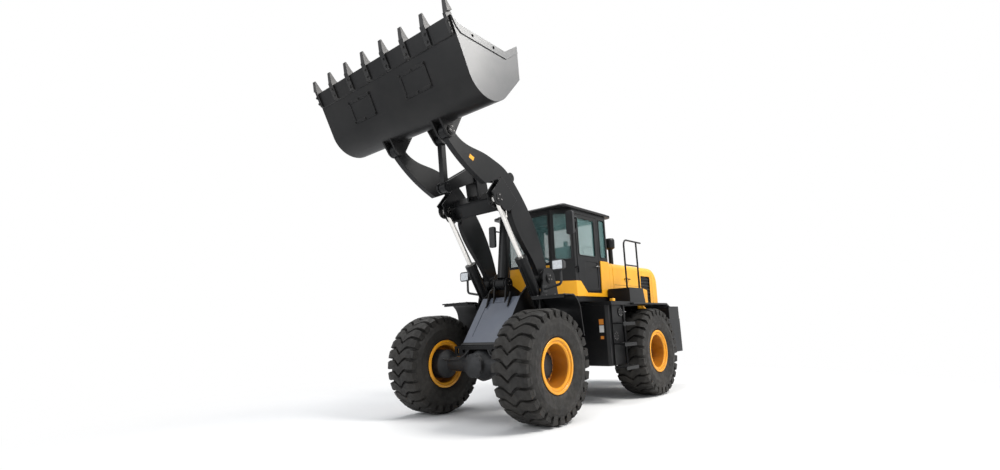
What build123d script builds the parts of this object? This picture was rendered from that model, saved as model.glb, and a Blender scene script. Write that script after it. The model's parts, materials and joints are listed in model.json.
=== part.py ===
from build123d import *
import math
import os

os.makedirs("parts", exist_ok=True)

# An articulated wheel loader with its boom raised and its bucket rolled back.
# Millimetres. +X is the machine's left, -Y is forward, +Z is up, and z = 0 is the ground.

# Overall sizes
pivot_y = 220.0
wheelbase = 3280.0
track = 2190.0
tyre_radius = 780.0
tyre_width = 595.0
shaft_gap = 0.3
side_gap = 6.0

front_axle_y = pivot_y - wheelbase / 2
rear_axle_y = pivot_y + wheelbase / 2
axle_z = tyre_radius
wheel_x = track / 2

# Wheels and axles
bead_radius = 318.0
flange_radius = 376.0
rim_half_width = 262.0
rim_wall = 14.0
disc_inner_x = -50.0
disc_thickness = 22.0
hub_radius = 205.0
hub_depth = 70.0
spindle_radius = 70.0
axle_tube_radius = 112.0
bowl_radius = 245.0
carrier_radius = 225.0

# Boom, in its own frame: s runs from the frame pin to the bucket pin, n is square to it
boom_pin_y = front_axle_y + 870.0
boom_pin_z = 2070.0
boom_length = 2858.0
boom_angle = 43.3
arm_x = 540.0
arm_thickness = 96.0
arm_pin_radius = 50.0
arm_hub_radius = 150.0
tip_hub_radius = 100.0
tip_half = 64.0
bucket_pin_radius = 40.0
beam_s = (1320.0, 1580.0)
beam_n = (170.0, 420.0)
crank_pin = (1878.0, 608.0)
crank_low_pin = (2105.0, -125.0)
crank_high_pin = (1315.0, 1221.0)
crank_pin_radius = 45.0
crank_plate = 30.0
crank_gap = 55.0
link_half_width = 45.0
lift_eye = (1580.0, 118.0)
cheek_thickness = 22.0

# Bucket, from its hinge pin: forward and up, as it stands rolled back
bucket_width = 3000.0
bucket_plate = 28.0
bucket_side = 24.0
strip_thickness = 12.0
bucket_lip = (800.0, 970.0)
bucket_curve_centre = (120.0, 530.0)
bucket_curve_radius = 420.0
bucket_back = (-500.0, 600.0)
bucket_spill = (-470.0, 1090.0)
bucket_side_step = ((660.0, 900.0), (-190.0, 890.0))
bucket_link_pin = (-412.0, 134.0)
link_pin_radius = 38.0
tooth_count = 8
tooth_width = 86.0
tooth_reach = 190.0
ear_thickness = 30.0

# Cylinders
lift_base = (front_axle_y + 960.0, 1360.0)
lift_barrel_radius = 92.0
lift_rod_radius = 40.0
lift_barrel_length = 1205.0
tilt_base = (front_axle_y + 520.0, 2020.0)
tilt_barrel_radius = 95.0
tilt_rod_radius = 42.0
tilt_barrel_length = 1120.0
steer_rear_pin = (530.0, 750.0)
steer_front_pin = (530.0, -400.0)
steer_z = 800.0
steer_barrel_radius = 55.0
steer_rod_radius = 28.0
steer_barrel_length = 715.0
steer_pin_radius = 25.0

# Front frame
web_x = (arm_x - 175, arm_x - 145)
tower_x = (arm_x + 110, arm_x + 138)
hinge_upper_z = 1250.0
hinge_lower_z = 610.0
hinge_lug = 70.0
fork_plate = 45.0
fork_gap = 5.0
pivot_pin_radius = 45.0
tie_down_radius = 30.0
tie_down_x = 300.0
tie_down_z = 985.0
crossbar_half_width = 500.0
fender_outer_x = 1300.0
fender_top_z = 1760.0
fender_sheet = 20.0

# Cab
cab_half_width = 780.0
cab_front = -380.0
cab_rear = 1030.0
cab_floor_z = 1700.0
cab_top_z = 3300.0
cab_wall = 45.0
cab_chamfer = (500.0, -120.0)
window_top_z = 3220.0
glass_thickness = 8.0
glass_depth = 23.0
window_round = 40.0
door_y = (-30.0, 690.0)
door_z = (1870.0, 3230.0)
door_cut = (235.0, 2105.0)
door_thickness = 40.0
door_gap = 6.0
door_window_y = (30.0, 590.0)
door_window_z = (2500.0, 3170.0)
door_hinge_x = cab_half_width + 14
door_hinge_y = pivot_y + door_y[0]
door_hinge_z = (2250.0, 3020.0)
skirt_thickness = 14.0
skirt_z = (1790.0, 2440.0)
deck_top_z = 1680.0
deck_thickness = 60.0
roof_half_width = cab_half_width + 45
roof_y = (-400.0, 1250.0)
roof_thickness = 75.0

# Hood and rear end
hood_half_width = 790.0
hood_front = 1180.0
hood_rear = wheelbase / 2 + 1550
hood_top_z = 2440.0
hood_side_z = 1890.0
hood_low_z = 1560.0
hood_rear_round = 330.0
hood_shoulder = 110.0
hood_sheet = 22.0
hood_hinge_x = 480.0
hood_hinge_rel = wheelbase / 2 + 1450
hood_hinge_y = pivot_y + hood_hinge_rel
hood_hinge_z = 1530.0
hood_pin_radius = 12.0
counterweight_half_width = 1200.0
counterweight_rear = wheelbase / 2 + 1640
counterweight_corner = 150.0
hitch_y = rear_axle_y + 1595
hitch_radius = 26.0
hitch_outer_radius = 55.0
platform_top_z = 1930.0
platform_y = (890.0, 1440.0)
tank_outer_x = 1150.0


def boom_point(s, n):
    """Turns a point of the boom's own frame into (y, z)."""
    a = math.radians(boom_angle)
    y = boom_pin_y - s * math.cos(a) + n * math.sin(a)
    z = boom_pin_z + s * math.sin(a) + n * math.cos(a)
    return (y, z)


boom_tip = boom_point(boom_length, 0)


def bucket_point(forward, up):
    """Turns a point measured from the bucket's hinge pin into (y, z)."""
    return (boom_tip[0] - forward, boom_tip[1] + up)


def ahead(forward, height):
    """A point this far ahead of the front axle, as (y, z)."""
    return (front_axle_y - forward, height)


def behind(distance, height):
    """A point this far behind the articulation pivot, as (y, z)."""
    return (pivot_y + distance, height)


def past(distance, height):
    """A point this far behind the rear axle, as (y, z)."""
    return (rear_axle_y + distance, height)


def side_plate(points, x_low, x_high, mode=Mode.ADD, discs=()):
    """Extrudes a side outline of (y, z) points, with round ends (y, z, radius), across x."""
    with BuildSketch(Plane.YZ.offset(x_low)) as outline:
        with BuildLine():
            Polyline(*points, close=True)
        make_face()
        for y, z, radius in discs:
            with Locations((y, z)):
                Circle(radius)
    extrude(outline.sketch, amount=x_high - x_low, mode=mode)


def plan_plate(points, z_low, z_high, mode=Mode.ADD, discs=()):
    """Extrudes a plan outline of (x, y) points, with round ends (x, y, radius), upwards."""
    with BuildSketch(Plane.XY.offset(z_low)) as outline:
        with BuildLine():
            Polyline(*points, close=True)
        make_face()
        for x, y, radius in discs:
            with Locations((x, y)):
                Circle(radius)
    extrude(outline.sketch, amount=z_high - z_low, mode=mode)


def round_x(y, z, radius, x_low, x_high, mode=Mode.ADD):
    """A cylinder along x."""
    with BuildSketch(Plane.YZ.offset(x_low)) as outline:
        with Locations((y, z)):
            Circle(radius)
    extrude(outline.sketch, amount=x_high - x_low, mode=mode)


def round_y(x, z, radius, y_low, y_high, mode=Mode.ADD):
    """A cylinder along y."""
    with BuildSketch(Plane.XZ.offset(-y_low)) as outline:
        with Locations((x, z)):
            Circle(radius)
    extrude(outline.sketch, amount=y_low - y_high, mode=mode)


def round_z(x, y, radius, z_low, z_high, mode=Mode.ADD):
    """A cylinder along z."""
    with BuildSketch(Plane.XY.offset(z_low)) as outline:
        with Locations((x, y)):
            Circle(radius)
    extrude(outline.sketch, amount=z_high - z_low, mode=mode)


def block(x_low, x_high, y_low, y_high, z_low, z_high, mode=Mode.ADD):
    """A box between two corners."""
    with Locations(((x_low + x_high) / 2, (y_low + y_high) / 2, (z_low + z_high) / 2)):
        Box(x_high - x_low, y_high - y_low, z_high - z_low, mode=mode)


def rod_between(start, end, radius, from_length, to_length, mode=Mode.ADD):
    """A cylinder on the line from start to end, between two distances along it."""
    line = Vector(*end) - Vector(*start)
    plane = Plane(origin=start, z_dir=line.normalized())
    with BuildSketch(plane.offset(from_length)) as outline:
        Circle(radius)
    extrude(outline.sketch, amount=to_length - from_length, mode=mode)


def spans(side, low, high):
    """Orders a stretch of x for one side of the machine."""
    return (low, high) if side > 0 else (-high, -low)


def tangent_point(centre, radius, outside, sense):
    """The point where a line from outside touches a circle."""
    dx = outside[0] - centre[0]
    dy = outside[1] - centre[1]
    angle = math.atan2(dy, dx) + sense * math.acos(radius / math.hypot(dx, dy))
    return (centre[0] + radius * math.cos(angle), centre[1] + radius * math.sin(angle))


def save(part, name):
    """Labels a finished piece and writes it."""
    part.label = name
    export_step(part, f"parts/{name}.step")


# Wheels: a wide tyre on a deep rim, with the hub's bore running on the axle's spindle
def wheel_profile(side, points):
    return [(side * (wheel_x + dx), axle_z + r) for dx, r in points]


tyre_half = tyre_width / 2
tyre_seat = rim_half_width - 15
tyre_outline = [
    (-tyre_seat, bead_radius + shaft_gap),
    (-tyre_seat, flange_radius + 4),
    (-tyre_half, 530),
    (-tyre_half + 10, 660),
    (-tyre_half + 60, tyre_radius),
    (tyre_half - 60, tyre_radius),
    (tyre_half - 10, 660),
    (tyre_half, 530),
    (tyre_seat, flange_radius + 4),
    (tyre_seat, bead_radius + shaft_gap),
]
rim_inner = bead_radius - rim_wall
disc_outer_x = disc_inner_x + disc_thickness
hub_face_x = disc_outer_x + hub_depth
rim_outline = [
    (-rim_half_width, flange_radius),
    (-rim_half_width + 14, flange_radius),
    (-rim_half_width + 14, bead_radius),
    (rim_half_width - 14, bead_radius),
    (rim_half_width - 14, flange_radius),
    (rim_half_width, flange_radius),
    (rim_half_width, 332),
    (rim_half_width - 16, rim_inner),
    (disc_outer_x, rim_inner),
    (disc_outer_x, hub_radius),
    (hub_face_x, hub_radius - 12),
    (hub_face_x, 0),
    (14, 0),
    (14, spindle_radius + shaft_gap),
    (disc_inner_x, spindle_radius + shaft_gap),
    (disc_inner_x, rim_inner),
    (-rim_half_width, rim_inner),
]
corners = (
    ("front_left", 1, front_axle_y),
    ("front_right", -1, front_axle_y),
    ("rear_left", 1, rear_axle_y),
    ("rear_right", -1, rear_axle_y),
)
for corner, side, wheel_y in corners:
    wheel_axis = Axis((0, wheel_y, axle_z), (1, 0, 0))
    with BuildPart() as tyre:
        with BuildSketch(Plane.XZ.offset(-wheel_y)):
            with BuildLine():
                Polyline(*wheel_profile(side, tyre_outline), close=True)
            make_face()
        revolve(axis=wheel_axis)
    save(tyre.part, f"tyre_{corner}")
    with BuildPart() as rim:
        with BuildSketch(Plane.XZ.offset(-wheel_y)):
            with BuildLine():
                Polyline(*wheel_profile(side, rim_outline), close=True)
            make_face()
        revolve(axis=wheel_axis)
    save(rim.part, f"rim_{corner}")

# Axles: a bowl for the differential, tapered tubes, brake carriers and spindles
carrier_end = wheel_x + disc_inner_x - side_gap
axle_half = [
    (0, bowl_radius),
    (90, bowl_radius - 25),
    (230, 150),
    (380, axle_tube_radius),
    (700, axle_tube_radius),
    (770, carrier_radius - 20),
    (800, carrier_radius),
    (carrier_end, carrier_radius),
    (carrier_end, spindle_radius),
    (wheel_x + 8, spindle_radius),
    (wheel_x + 8, 0),
]
pad_x = (300.0, 410.0)
pad_top_z = 930.0


def axle(name, axle_y, nose_sign, pads):
    """An axle housing whose pinion nose points along nose_sign in y."""
    outline = [(x, axle_z + r) for x, r in axle_half]
    outline += [(-x, axle_z + r) for x, r in reversed(axle_half[1:])]
    with BuildSketch(Plane.XZ.offset(-axle_y)) as section:
        with BuildLine():
            Polyline(*outline, close=True)
        make_face()
    with BuildPart() as housing:
        revolve(section.sketch, axis=Axis((0, axle_y, axle_z), (1, 0, 0)))
        if nose_sign > 0:
            round_y(0, axle_z, 90, axle_y, axle_y + 420)
            round_y(0, axle_z, 60, axle_y + 400, axle_y + 470)
        else:
            round_y(0, axle_z, 90, axle_y - 420, axle_y + 400)
            round_y(0, axle_z, 60, axle_y - 470, axle_y - 400)
        if pads:
            for side in (1, -1):
                low, high = spans(side, *pad_x)
                block(low, high, axle_y - 100, axle_y + 100, axle_z, pad_top_z)
    save(housing.part, name)


axle("front_axle", front_axle_y, 1, True)
axle("rear_axle", rear_axle_y, -1, False)

# Front frame: two webs rising to the boom towers, the sloped plate, shelves and hinge lugs
web_points = [
    ahead(100, 930),
    ahead(100, 1080),
    ahead(40, 1110),
    ahead(-460, 1800),
    ahead(-700, 2000),
    ahead(-870, 2230),
    ahead(-1030, 2080),
    ahead(-1030, 1690),
    behind(-350, 1600),
    behind(-350, 1400),
    behind(-190, 1330),
    behind(-190, 500),
    behind(-490, 480),
    ahead(-640, 880),
    ahead(-560, 930),
]
tower_points = [
    ahead(-420, 980),
    ahead(-700, 2010),
    ahead(-870, 2230),
    ahead(-1050, 2060),
    ahead(-1250, 1250),
    ahead(-1250, 980),
]
slope_foot = ahead(40, 1110)
slope_head = ahead(-460, 1800)
slope_points = [
    ahead(100, 1020),
    ahead(100, 1080),
    slope_foot,
    slope_head,
    ahead(-620, 1800),
    ahead(-620, 1775),
    ahead(-475, 1775),
    ahead(20, 1090),
    ahead(75, 1060),
    ahead(75, 1020),
]
hinge_plan_front = [
    (-web_x[0], pivot_y - 190),
    (web_x[0], pivot_y - 190),
    (100, pivot_y + 65),
    (-100, pivot_y + 65),
]
tower_head_radius = 170.0
steer_ear = 60.0


def steering_ear(root_x, pin_x, ear_pin_y, root_span):
    """The pair of plates that holds one steering pin, reaching from root_x out to pin_x."""
    for z_mid in (steer_z - 48, steer_z + 48):
        plan_plate(
            [
                (root_x, ear_pin_y + root_span[0]),
                (pin_x, ear_pin_y - steer_ear),
                (pin_x, ear_pin_y + steer_ear),
                (root_x, ear_pin_y + root_span[1]),
            ],
            z_mid - 12,
            z_mid + 12,
            discs=((pin_x, ear_pin_y, steer_ear),),
        )


with BuildPart() as front_frame:
    for side in (1, -1):
        low, high = spans(side, *web_x)
        side_plate(web_points, low, high, discs=((boom_pin_y, boom_pin_z, tower_head_radius),))
        low, high = spans(side, *tower_x)
        side_plate(tower_points, low, high, discs=((boom_pin_y, boom_pin_z, tower_head_radius),))
        low, high = spans(side, web_x[1], tower_x[1])
        block(low, high, front_axle_y + 350, front_axle_y + 1270, 930, 980)
        block(low, high, front_axle_y + 1150, front_axle_y + 1180, 980, 1180)
        round_x(boom_pin_y, boom_pin_z, arm_pin_radius, low, high)
        round_x(lift_base[0], lift_base[1], arm_pin_radius, low, high)
        front_pin_y = pivot_y + steer_front_pin[1]
        steering_ear(side * web_x[1], side * steer_front_pin[0], front_pin_y, (-130, 130))
        # A gusset beside the tilt lugs, and the cap that closes the boom pin
        low, high = spans(side, 215, 235)
        side_plate([ahead(-330, 1640), ahead(-420, 1880), ahead(-560, 1880), ahead(-600, 1790)], low, high)
        low, high = spans(side, tower_x[1], tower_x[1] + 16)
        round_x(boom_pin_y, boom_pin_z, 78, low, high)
    side_plate(slope_points, -web_x[0], web_x[0])
    block(-web_x[0], web_x[0], pivot_y - 220, pivot_y - 190, 500, 1330)
    block(-web_x[0], web_x[0], front_axle_y + 990, front_axle_y + 1020, 1300, 1850)
    block(-web_x[0], web_x[0], front_axle_y + 420, front_axle_y + 560, 930, 960)
    # The shallow panel pressed into the sloped plate
    slope_rise = Vector(0, slope_head[0] - slope_foot[0], slope_head[1] - slope_foot[1])
    slope_normal = Vector(0, -slope_rise.Z, slope_rise.Y).normalized()
    slope_middle = (0, (slope_foot[0] + slope_head[0]) / 2, (slope_foot[1] + slope_head[1]) / 2)
    with BuildSketch(Plane(origin=slope_middle, x_dir=(1, 0, 0), z_dir=slope_normal)) as pressed:
        RectangleRounded(520, slope_rise.length - 190, 30)
    extrude(pressed.sketch, amount=-6, mode=Mode.SUBTRACT)
    for lug_side in (1, -1):
        low, high = spans(lug_side, tilt_barrel_radius + 13, tilt_barrel_radius + 38)
        side_plate(
            [ahead(-400, 1700), ahead(-440, 1990), ahead(-600, 1990), ahead(-990, 1800), ahead(-990, 1700)],
            low,
            high,
            discs=((tilt_base[0], tilt_base[1], 95),),
        )
    round_x(tilt_base[0], tilt_base[1], crank_pin_radius, -tilt_barrel_radius - 13, tilt_barrel_radius + 13)
    for hinge_z in (hinge_upper_z, hinge_lower_z):
        half_lug = hinge_lug / 2
        plan_plate(hinge_plan_front, hinge_z - half_lug, hinge_z + half_lug, discs=((0, pivot_y, 120),))
        bore = pivot_pin_radius + shaft_gap
        round_z(0, pivot_y, bore, hinge_z - hinge_lug, hinge_z + hinge_lug, Mode.SUBTRACT)
    round_y(0, axle_z, 130, pivot_y - 230, pivot_y - 180, Mode.SUBTRACT)
save(front_frame.part, "front_frame")

# Crossbar in front of the axle, with the two tie-down holes
crossbar_points = [
    (-crossbar_half_width, 910),
    (-230, 910),
    (-180, 1010),
    (180, 1010),
    (230, 910),
    (crossbar_half_width, 910),
    (crossbar_half_width, 1060),
    (-crossbar_half_width, 1060),
]
with BuildPart() as crossbar:
    with BuildSketch(Plane.XZ.offset(100 - front_axle_y)) as bar:
        with BuildLine():
            Polyline(*crossbar_points, close=True)
        make_face()
        fillet(bar.vertices(), radius=18)
    extrude(bar.sketch, amount=30)
    for side in (1, -1):
        hole = (side * tie_down_x, tie_down_z)
        round_y(*hole, tie_down_radius, front_axle_y - 131, front_axle_y - 99, Mode.SUBTRACT)
    with BuildSketch(Plane.XZ.offset(100 - front_axle_y)) as slots:
        for side in (1, -1):
            with Locations((side * 430, tie_down_z)):
                SlotOverall(90, 36, rotation=90)
    extrude(slots.sketch, amount=30, mode=Mode.SUBTRACT)
save(crossbar.part, "front_crossbar")

# Front drive shaft: from the axle's nose to the universal joint at the pivot
with BuildPart() as front_shaft:
    round_y(0, axle_z, 70, front_axle_y + 470, front_axle_y + 500)
    round_y(0, axle_z, 38, front_axle_y + 500, pivot_y - 30)
    round_y(0, axle_z, 56, pivot_y - 70, pivot_y - 30)
    round_z(0, pivot_y, 34, axle_z - 60, axle_z + 60)
    round_x(pivot_y, axle_z, 34, -60, 60)
save(front_shaft.part, "front_drive_shaft")

# Front mudguards: each starts behind the axle and curves down behind its wheel
fender_lead = ahead(-370, fender_top_z)
fender_bend = ahead(-590, fender_top_z)
fender_knee = ahead(-700, fender_top_z - 80)
fender_side = ahead(-765, fender_top_z - 230)
fender_foot = ahead(-815, 1150)
with BuildPart() as front_fenders:
    for side in (1, -1):
        low, high = spans(side, tower_x[1], fender_outer_x)
        with BuildSketch(Plane.YZ.offset(low)) as bent:
            with BuildLine() as middle:
                Line(fender_lead, fender_bend)
                ThreePointArc(fender_bend, fender_knee, fender_side)
                Line(fender_side, fender_foot)
            trace(line_width=fender_sheet)
        extrude(bent.sketch, amount=high - low)
        # Stiffening web under the top, and the bracket to the tower
        low, high = spans(side, tower_x[1], fender_outer_x - 40)
        block(low, high, front_axle_y + 380, front_axle_y + 390, fender_top_z - 45, fender_top_z - 8)
        low, high = spans(side, tower_x[1], tower_x[1] + 12)
        side_plate([ahead(-560, 1752), ahead(-700, 1660), ahead(-700, 1500), ahead(-600, 1560)], low, high)
save(front_fenders.part, "front_fenders")

# Headlamps on bent arms from the towers
lamp_y = front_axle_y + 700.0
with BuildPart() as headlamps:
    for side in (1, -1):
        low, high = spans(side, 900, 1110)
        with BuildSketch(Plane.XZ.offset(-lamp_y - 70)) as lamp_back:
            with Locations(((low + high) / 2, 2240)):
                RectangleRounded(150, 120, 30)
        with BuildSketch(Plane.XZ.offset(-lamp_y + 50)) as lamp_face:
            with Locations(((low + high) / 2, 2240)):
                RectangleRounded(high - low, 170, 40)
        loft([lamp_back.sketch, lamp_face.sketch])
        with BuildLine() as arm_path:
            FilletPolyline(
                (side * (tower_x[1] + 6), lamp_y + 30, 1890),
                (side * 1005, lamp_y + 30, 1950),
                (side * 1005, lamp_y + 30, 2180),
                radius=60,
            )
        with BuildSketch(Plane(origin=arm_path.line @ 0, z_dir=arm_path.line % 0)) as tube:
            Circle(20)
        sweep(tube.sketch, path=arm_path.line)
        low, high = spans(side, tower_x[1], tower_x[1] + 10)
        block(low, high, lamp_y - 30, lamp_y + 90, 1840, 1950)
save(headlamps.part, "headlamps")

# Lift arms: deep curved plates with hubs, and cheeks that hold the lift cylinder's eye
arm_upper = [
    (2800, 95),
    (2490, 190),
    (2220, 390),
    (2020, 500),
    (1780, 600),
    (1500, 615),
    (1060, 570),
    (420, 370),
    (0, 135),
]
arm_heel = (0, -135)
arm_lower = [(440, 10), (1010, 90), (1230, 180)]
arm_throat = [(1380, 330), (1780, 330), (1900, 60)]
arm_nose = [(2150, -20), (2460, -80), (2790, -95)]
cheek_points = [(1400, 60), (1290, 150), (1290, 430), (1760, 420), (1740, 60)]


def boom_points(points):
    """Turns several points of the boom's own frame into (y, z)."""
    return [boom_point(s, n) for s, n in points]


for arm_name, side in (("lift_arm_left", 1), ("lift_arm_right", -1)):
    with BuildPart() as arm:
        low, high = spans(side, arm_x - arm_thickness / 2, arm_x + arm_thickness / 2)
        with BuildSketch(Plane.YZ.offset(low)) as outline:
            with BuildLine():
                Spline(*boom_points(arm_upper))
                Line(boom_point(*arm_upper[-1]), boom_point(*arm_heel))
                Spline(*boom_points([arm_heel] + arm_lower))
                Polyline(*boom_points([arm_lower[-1]] + arm_throat))
                Spline(*boom_points([arm_throat[-1]] + arm_nose))
                Line(boom_point(*arm_nose[-1]), boom_point(*arm_upper[0]))
            make_face()
            with Locations((boom_pin_y, boom_pin_z)):
                Circle(arm_hub_radius)
            with Locations(boom_tip):
                Circle(tip_hub_radius)
        extrude(outline.sketch, amount=high - low)
        hub_low, hub_high = spans(side, web_x[1] + side_gap, tower_x[0] - side_gap)
        round_x(boom_pin_y, boom_pin_z, arm_hub_radius - 20, hub_low, hub_high)
        round_x(boom_pin_y, boom_pin_z, arm_pin_radius + shaft_gap, hub_low, hub_high, Mode.SUBTRACT)
        tip_low, tip_high = spans(side, arm_x - tip_half, arm_x + tip_half)
        round_x(boom_tip[0], boom_tip[1], tip_hub_radius - 8, tip_low, tip_high)
        round_x(boom_tip[0], boom_tip[1], bucket_pin_radius + shaft_gap, tip_low, tip_high, Mode.SUBTRACT)
        eye = boom_point(*lift_eye)
        half = arm_thickness / 2
        for x_low in (arm_x - half - cheek_thickness, arm_x + half):
            low, high = spans(side, x_low, x_low + cheek_thickness)
            side_plate(boom_points(cheek_points), low, high, discs=((eye[0], eye[1], 120),))
            round_x(eye[0], eye[1], arm_pin_radius, low, high, Mode.SUBTRACT)
    save(arm.part, arm_name)

# Cross beam: the box between the arms, with the lugs and pin of the bellcrank
beam_half = arm_x - arm_thickness / 2 - cheek_thickness
beam_corners = [
    (beam_s[0], beam_n[0]),
    (beam_s[0], beam_n[1]),
    (beam_s[1], beam_n[1]),
    (beam_s[1], beam_n[0]),
]
crank_outer = crank_gap + crank_plate
crank_lug = [
    (beam_s[0] + 60, beam_n[1] - 20),
    (crank_pin[0] - 110, crank_pin[1] + 60),
    (crank_pin[0] + 60, crank_pin[1] - 100),
    (beam_s[1], beam_n[0] + 60),
]
with BuildPart() as cross_beam:
    with BuildSketch(Plane.YZ.offset(-beam_half)) as beam_box:
        with BuildLine():
            Polyline(*boom_points(beam_corners), close=True)
        make_face()
        fillet(beam_box.vertices(), radius=40)
    extrude(beam_box.sketch, amount=2 * beam_half)
    crank_y, crank_z = boom_point(*crank_pin)
    for side in (1, -1):
        low, high = spans(side, crank_outer + 10, crank_outer + 40)
        side_plate(boom_points(crank_lug), low, high, discs=((crank_y, crank_z, 115),))
    round_x(crank_y, crank_z, crank_pin_radius, -crank_outer - 10, crank_outer + 10)
save(cross_beam.part, "boom_cross_beam")

# Bellcrank: two cheek plates on one hub, from the tilt cylinder's eye to the bucket link's
crank_points = [
    (crank_high_pin[0] - 60, crank_high_pin[1] + 40),
    (crank_pin[0] + 10, crank_pin[1] + 170),
    (crank_pin[0] + 120, crank_pin[1]),
    (crank_low_pin[0] + 80, crank_low_pin[1]),
    (crank_low_pin[0] - 80, crank_low_pin[1] - 10),
    (crank_pin[0] - 130, crank_pin[1] - 60),
    (crank_high_pin[0] - 50, crank_high_pin[1] - 60),
]
with BuildPart() as bellcrank:
    high_y, high_z = boom_point(*crank_high_pin)
    low_y, low_z = boom_point(*crank_low_pin)
    for side in (1, -1):
        low, high = spans(side, crank_gap, crank_outer)
        discs = ((high_y, high_z, 90), (low_y, low_z, 85), (crank_y, crank_z, 130))
        side_plate([boom_point(s, n) for s, n in crank_points], low, high, discs=discs)
        for pin_y, pin_z in ((high_y, high_z), (low_y, low_z)):
            round_x(pin_y, pin_z, link_pin_radius, low, high, Mode.SUBTRACT)
    round_x(crank_y, crank_z, 85, -crank_outer - 4, crank_outer + 4)
    round_x(crank_y, crank_z, crank_pin_radius + shaft_gap, -crank_outer - 4, crank_outer + 4, Mode.SUBTRACT)
save(bellcrank.part, "bellcrank")

# Bucket link: one bar from the bellcrank's lower end to the bucket's upper pin
link_y, link_z = bucket_point(*bucket_link_pin)
with BuildPart() as bucket_link:
    link_line = Vector(0, link_y - low_y, link_z - low_z)
    across = Vector(0, -link_line.Z, link_line.Y).normalized() * 45
    corners_link = [
        (low_y + across.Y, low_z + across.Z),
        (link_y + across.Y, link_z + across.Z),
        (link_y - across.Y, link_z - across.Z),
        (low_y - across.Y, low_z - across.Z),
    ]
    side_plate(
        corners_link,
        -link_half_width,
        link_half_width,
        discs=((low_y, low_z, 75), (link_y, link_z, 78)),
    )
    round_x(link_y, link_z, link_pin_radius + shaft_gap, -link_half_width, link_half_width, Mode.SUBTRACT)
save(bucket_link.part, "bucket_link")

# Bucket: a rolled shell between two side plates, with hinge ears, link ears and spill guard
floor_touch = tangent_point(bucket_curve_centre, bucket_curve_radius, bucket_lip, -1)
back_touch = tangent_point(bucket_curve_centre, bucket_curve_radius, bucket_back, 1)
curve_low = (bucket_curve_centre[0], bucket_curve_centre[1] - bucket_curve_radius)
half_bucket = bucket_width / 2
half_shell = half_bucket - strip_thickness


def bucket_outline():
    """The closed side outline of the bucket, from lip round the shell to the spill guard."""
    with BuildSketch(Plane.YZ.offset(-half_shell)) as outline:
        with BuildLine():
            Line(bucket_point(*bucket_lip), bucket_point(*floor_touch))
            ThreePointArc(bucket_point(*floor_touch), bucket_point(*curve_low), bucket_point(*back_touch))
            Polyline(
                bucket_point(*back_touch),
                bucket_point(*bucket_back),
                bucket_point(*bucket_spill),
                bucket_point(*bucket_side_step[1]),
                bucket_point(*bucket_side_step[0]),
                bucket_point(*bucket_lip),
            )
        make_face()
    return outline.sketch


def bucket_cavity():
    """The space inside the shell, open past the mouth."""
    inner_radius = bucket_curve_radius - bucket_plate
    lip_dir = Vector(bucket_lip[0] - floor_touch[0], bucket_lip[1] - floor_touch[1]).normalized()
    lip_in = Vector(-lip_dir.Y, lip_dir.X) * bucket_plate
    back_dir = Vector(bucket_back[0] - back_touch[0], bucket_back[1] - back_touch[1]).normalized()
    back_in = Vector(back_dir.Y, -back_dir.X) * bucket_plate
    floor_in = (floor_touch[0] + lip_in.X, floor_touch[1] + lip_in.Y)
    back_low = (back_touch[0] + back_in.X, back_touch[1] + back_in.Y)
    low_in = (bucket_curve_centre[0], bucket_curve_centre[1] - inner_radius)
    past_lip = Vector(*bucket_lip) + lip_dir * 300 + lip_in
    with BuildSketch(Plane.YZ.offset(-half_shell + bucket_side)) as outline:
        with BuildLine():
            ThreePointArc(bucket_point(*floor_in), bucket_point(*low_in), bucket_point(*back_low))
            Polyline(
                bucket_point(*back_low),
                bucket_point(bucket_back[0] + 42, bucket_back[1] + 6),
                bucket_point(bucket_spill[0] + 34, bucket_spill[1] + 200),
                bucket_point(past_lip.X, past_lip.Y),
                bucket_point(*floor_in),
            )
        make_face()
    return outline.sketch


lip_along = Vector(bucket_lip[0] - floor_touch[0], bucket_lip[1] - floor_touch[1]).normalized()
lip_out = Vector(lip_along.Y, -lip_along.X)


def lip_point(along, out):
    """A point past the lip and outwards from the shell's outer face, as (y, z)."""
    spot = Vector(*bucket_lip) + lip_along * along + lip_out * out
    return bucket_point(spot.X, spot.Y)


wear_x = (330.0, 850.0)
wear_points = [(-660, -2), (-660, 14), (-330, 14), (-330, -2)]
wear_recess = [(-620, 6), (-620, 20), (-370, 20), (-370, 6)]
pin_y, pin_z = boom_tip
ear_reach = arm_x + tip_half + side_gap + ear_thickness
ear_points = [(-70, -60), (80, -60), (330, 300), (-260, 320)]
link_ear_points = [(-470, 80), (-340, 80), (-150, 300), (-420, 560)]
strip_points = [
    (792, 966),
    (660, 900),
    (-190, 890),
    (-440, 1068),
    (-470, 975),
    (-215, 790),
    (625, 800),
    (700, 850),
    (745, 905),
]
strip_holes = ((430, 850), (40, 848))


def bucket_points(points):
    """Turns several points measured from the bucket's hinge pin into (y, z)."""
    return [bucket_point(forward, up) for forward, up in points]


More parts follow.
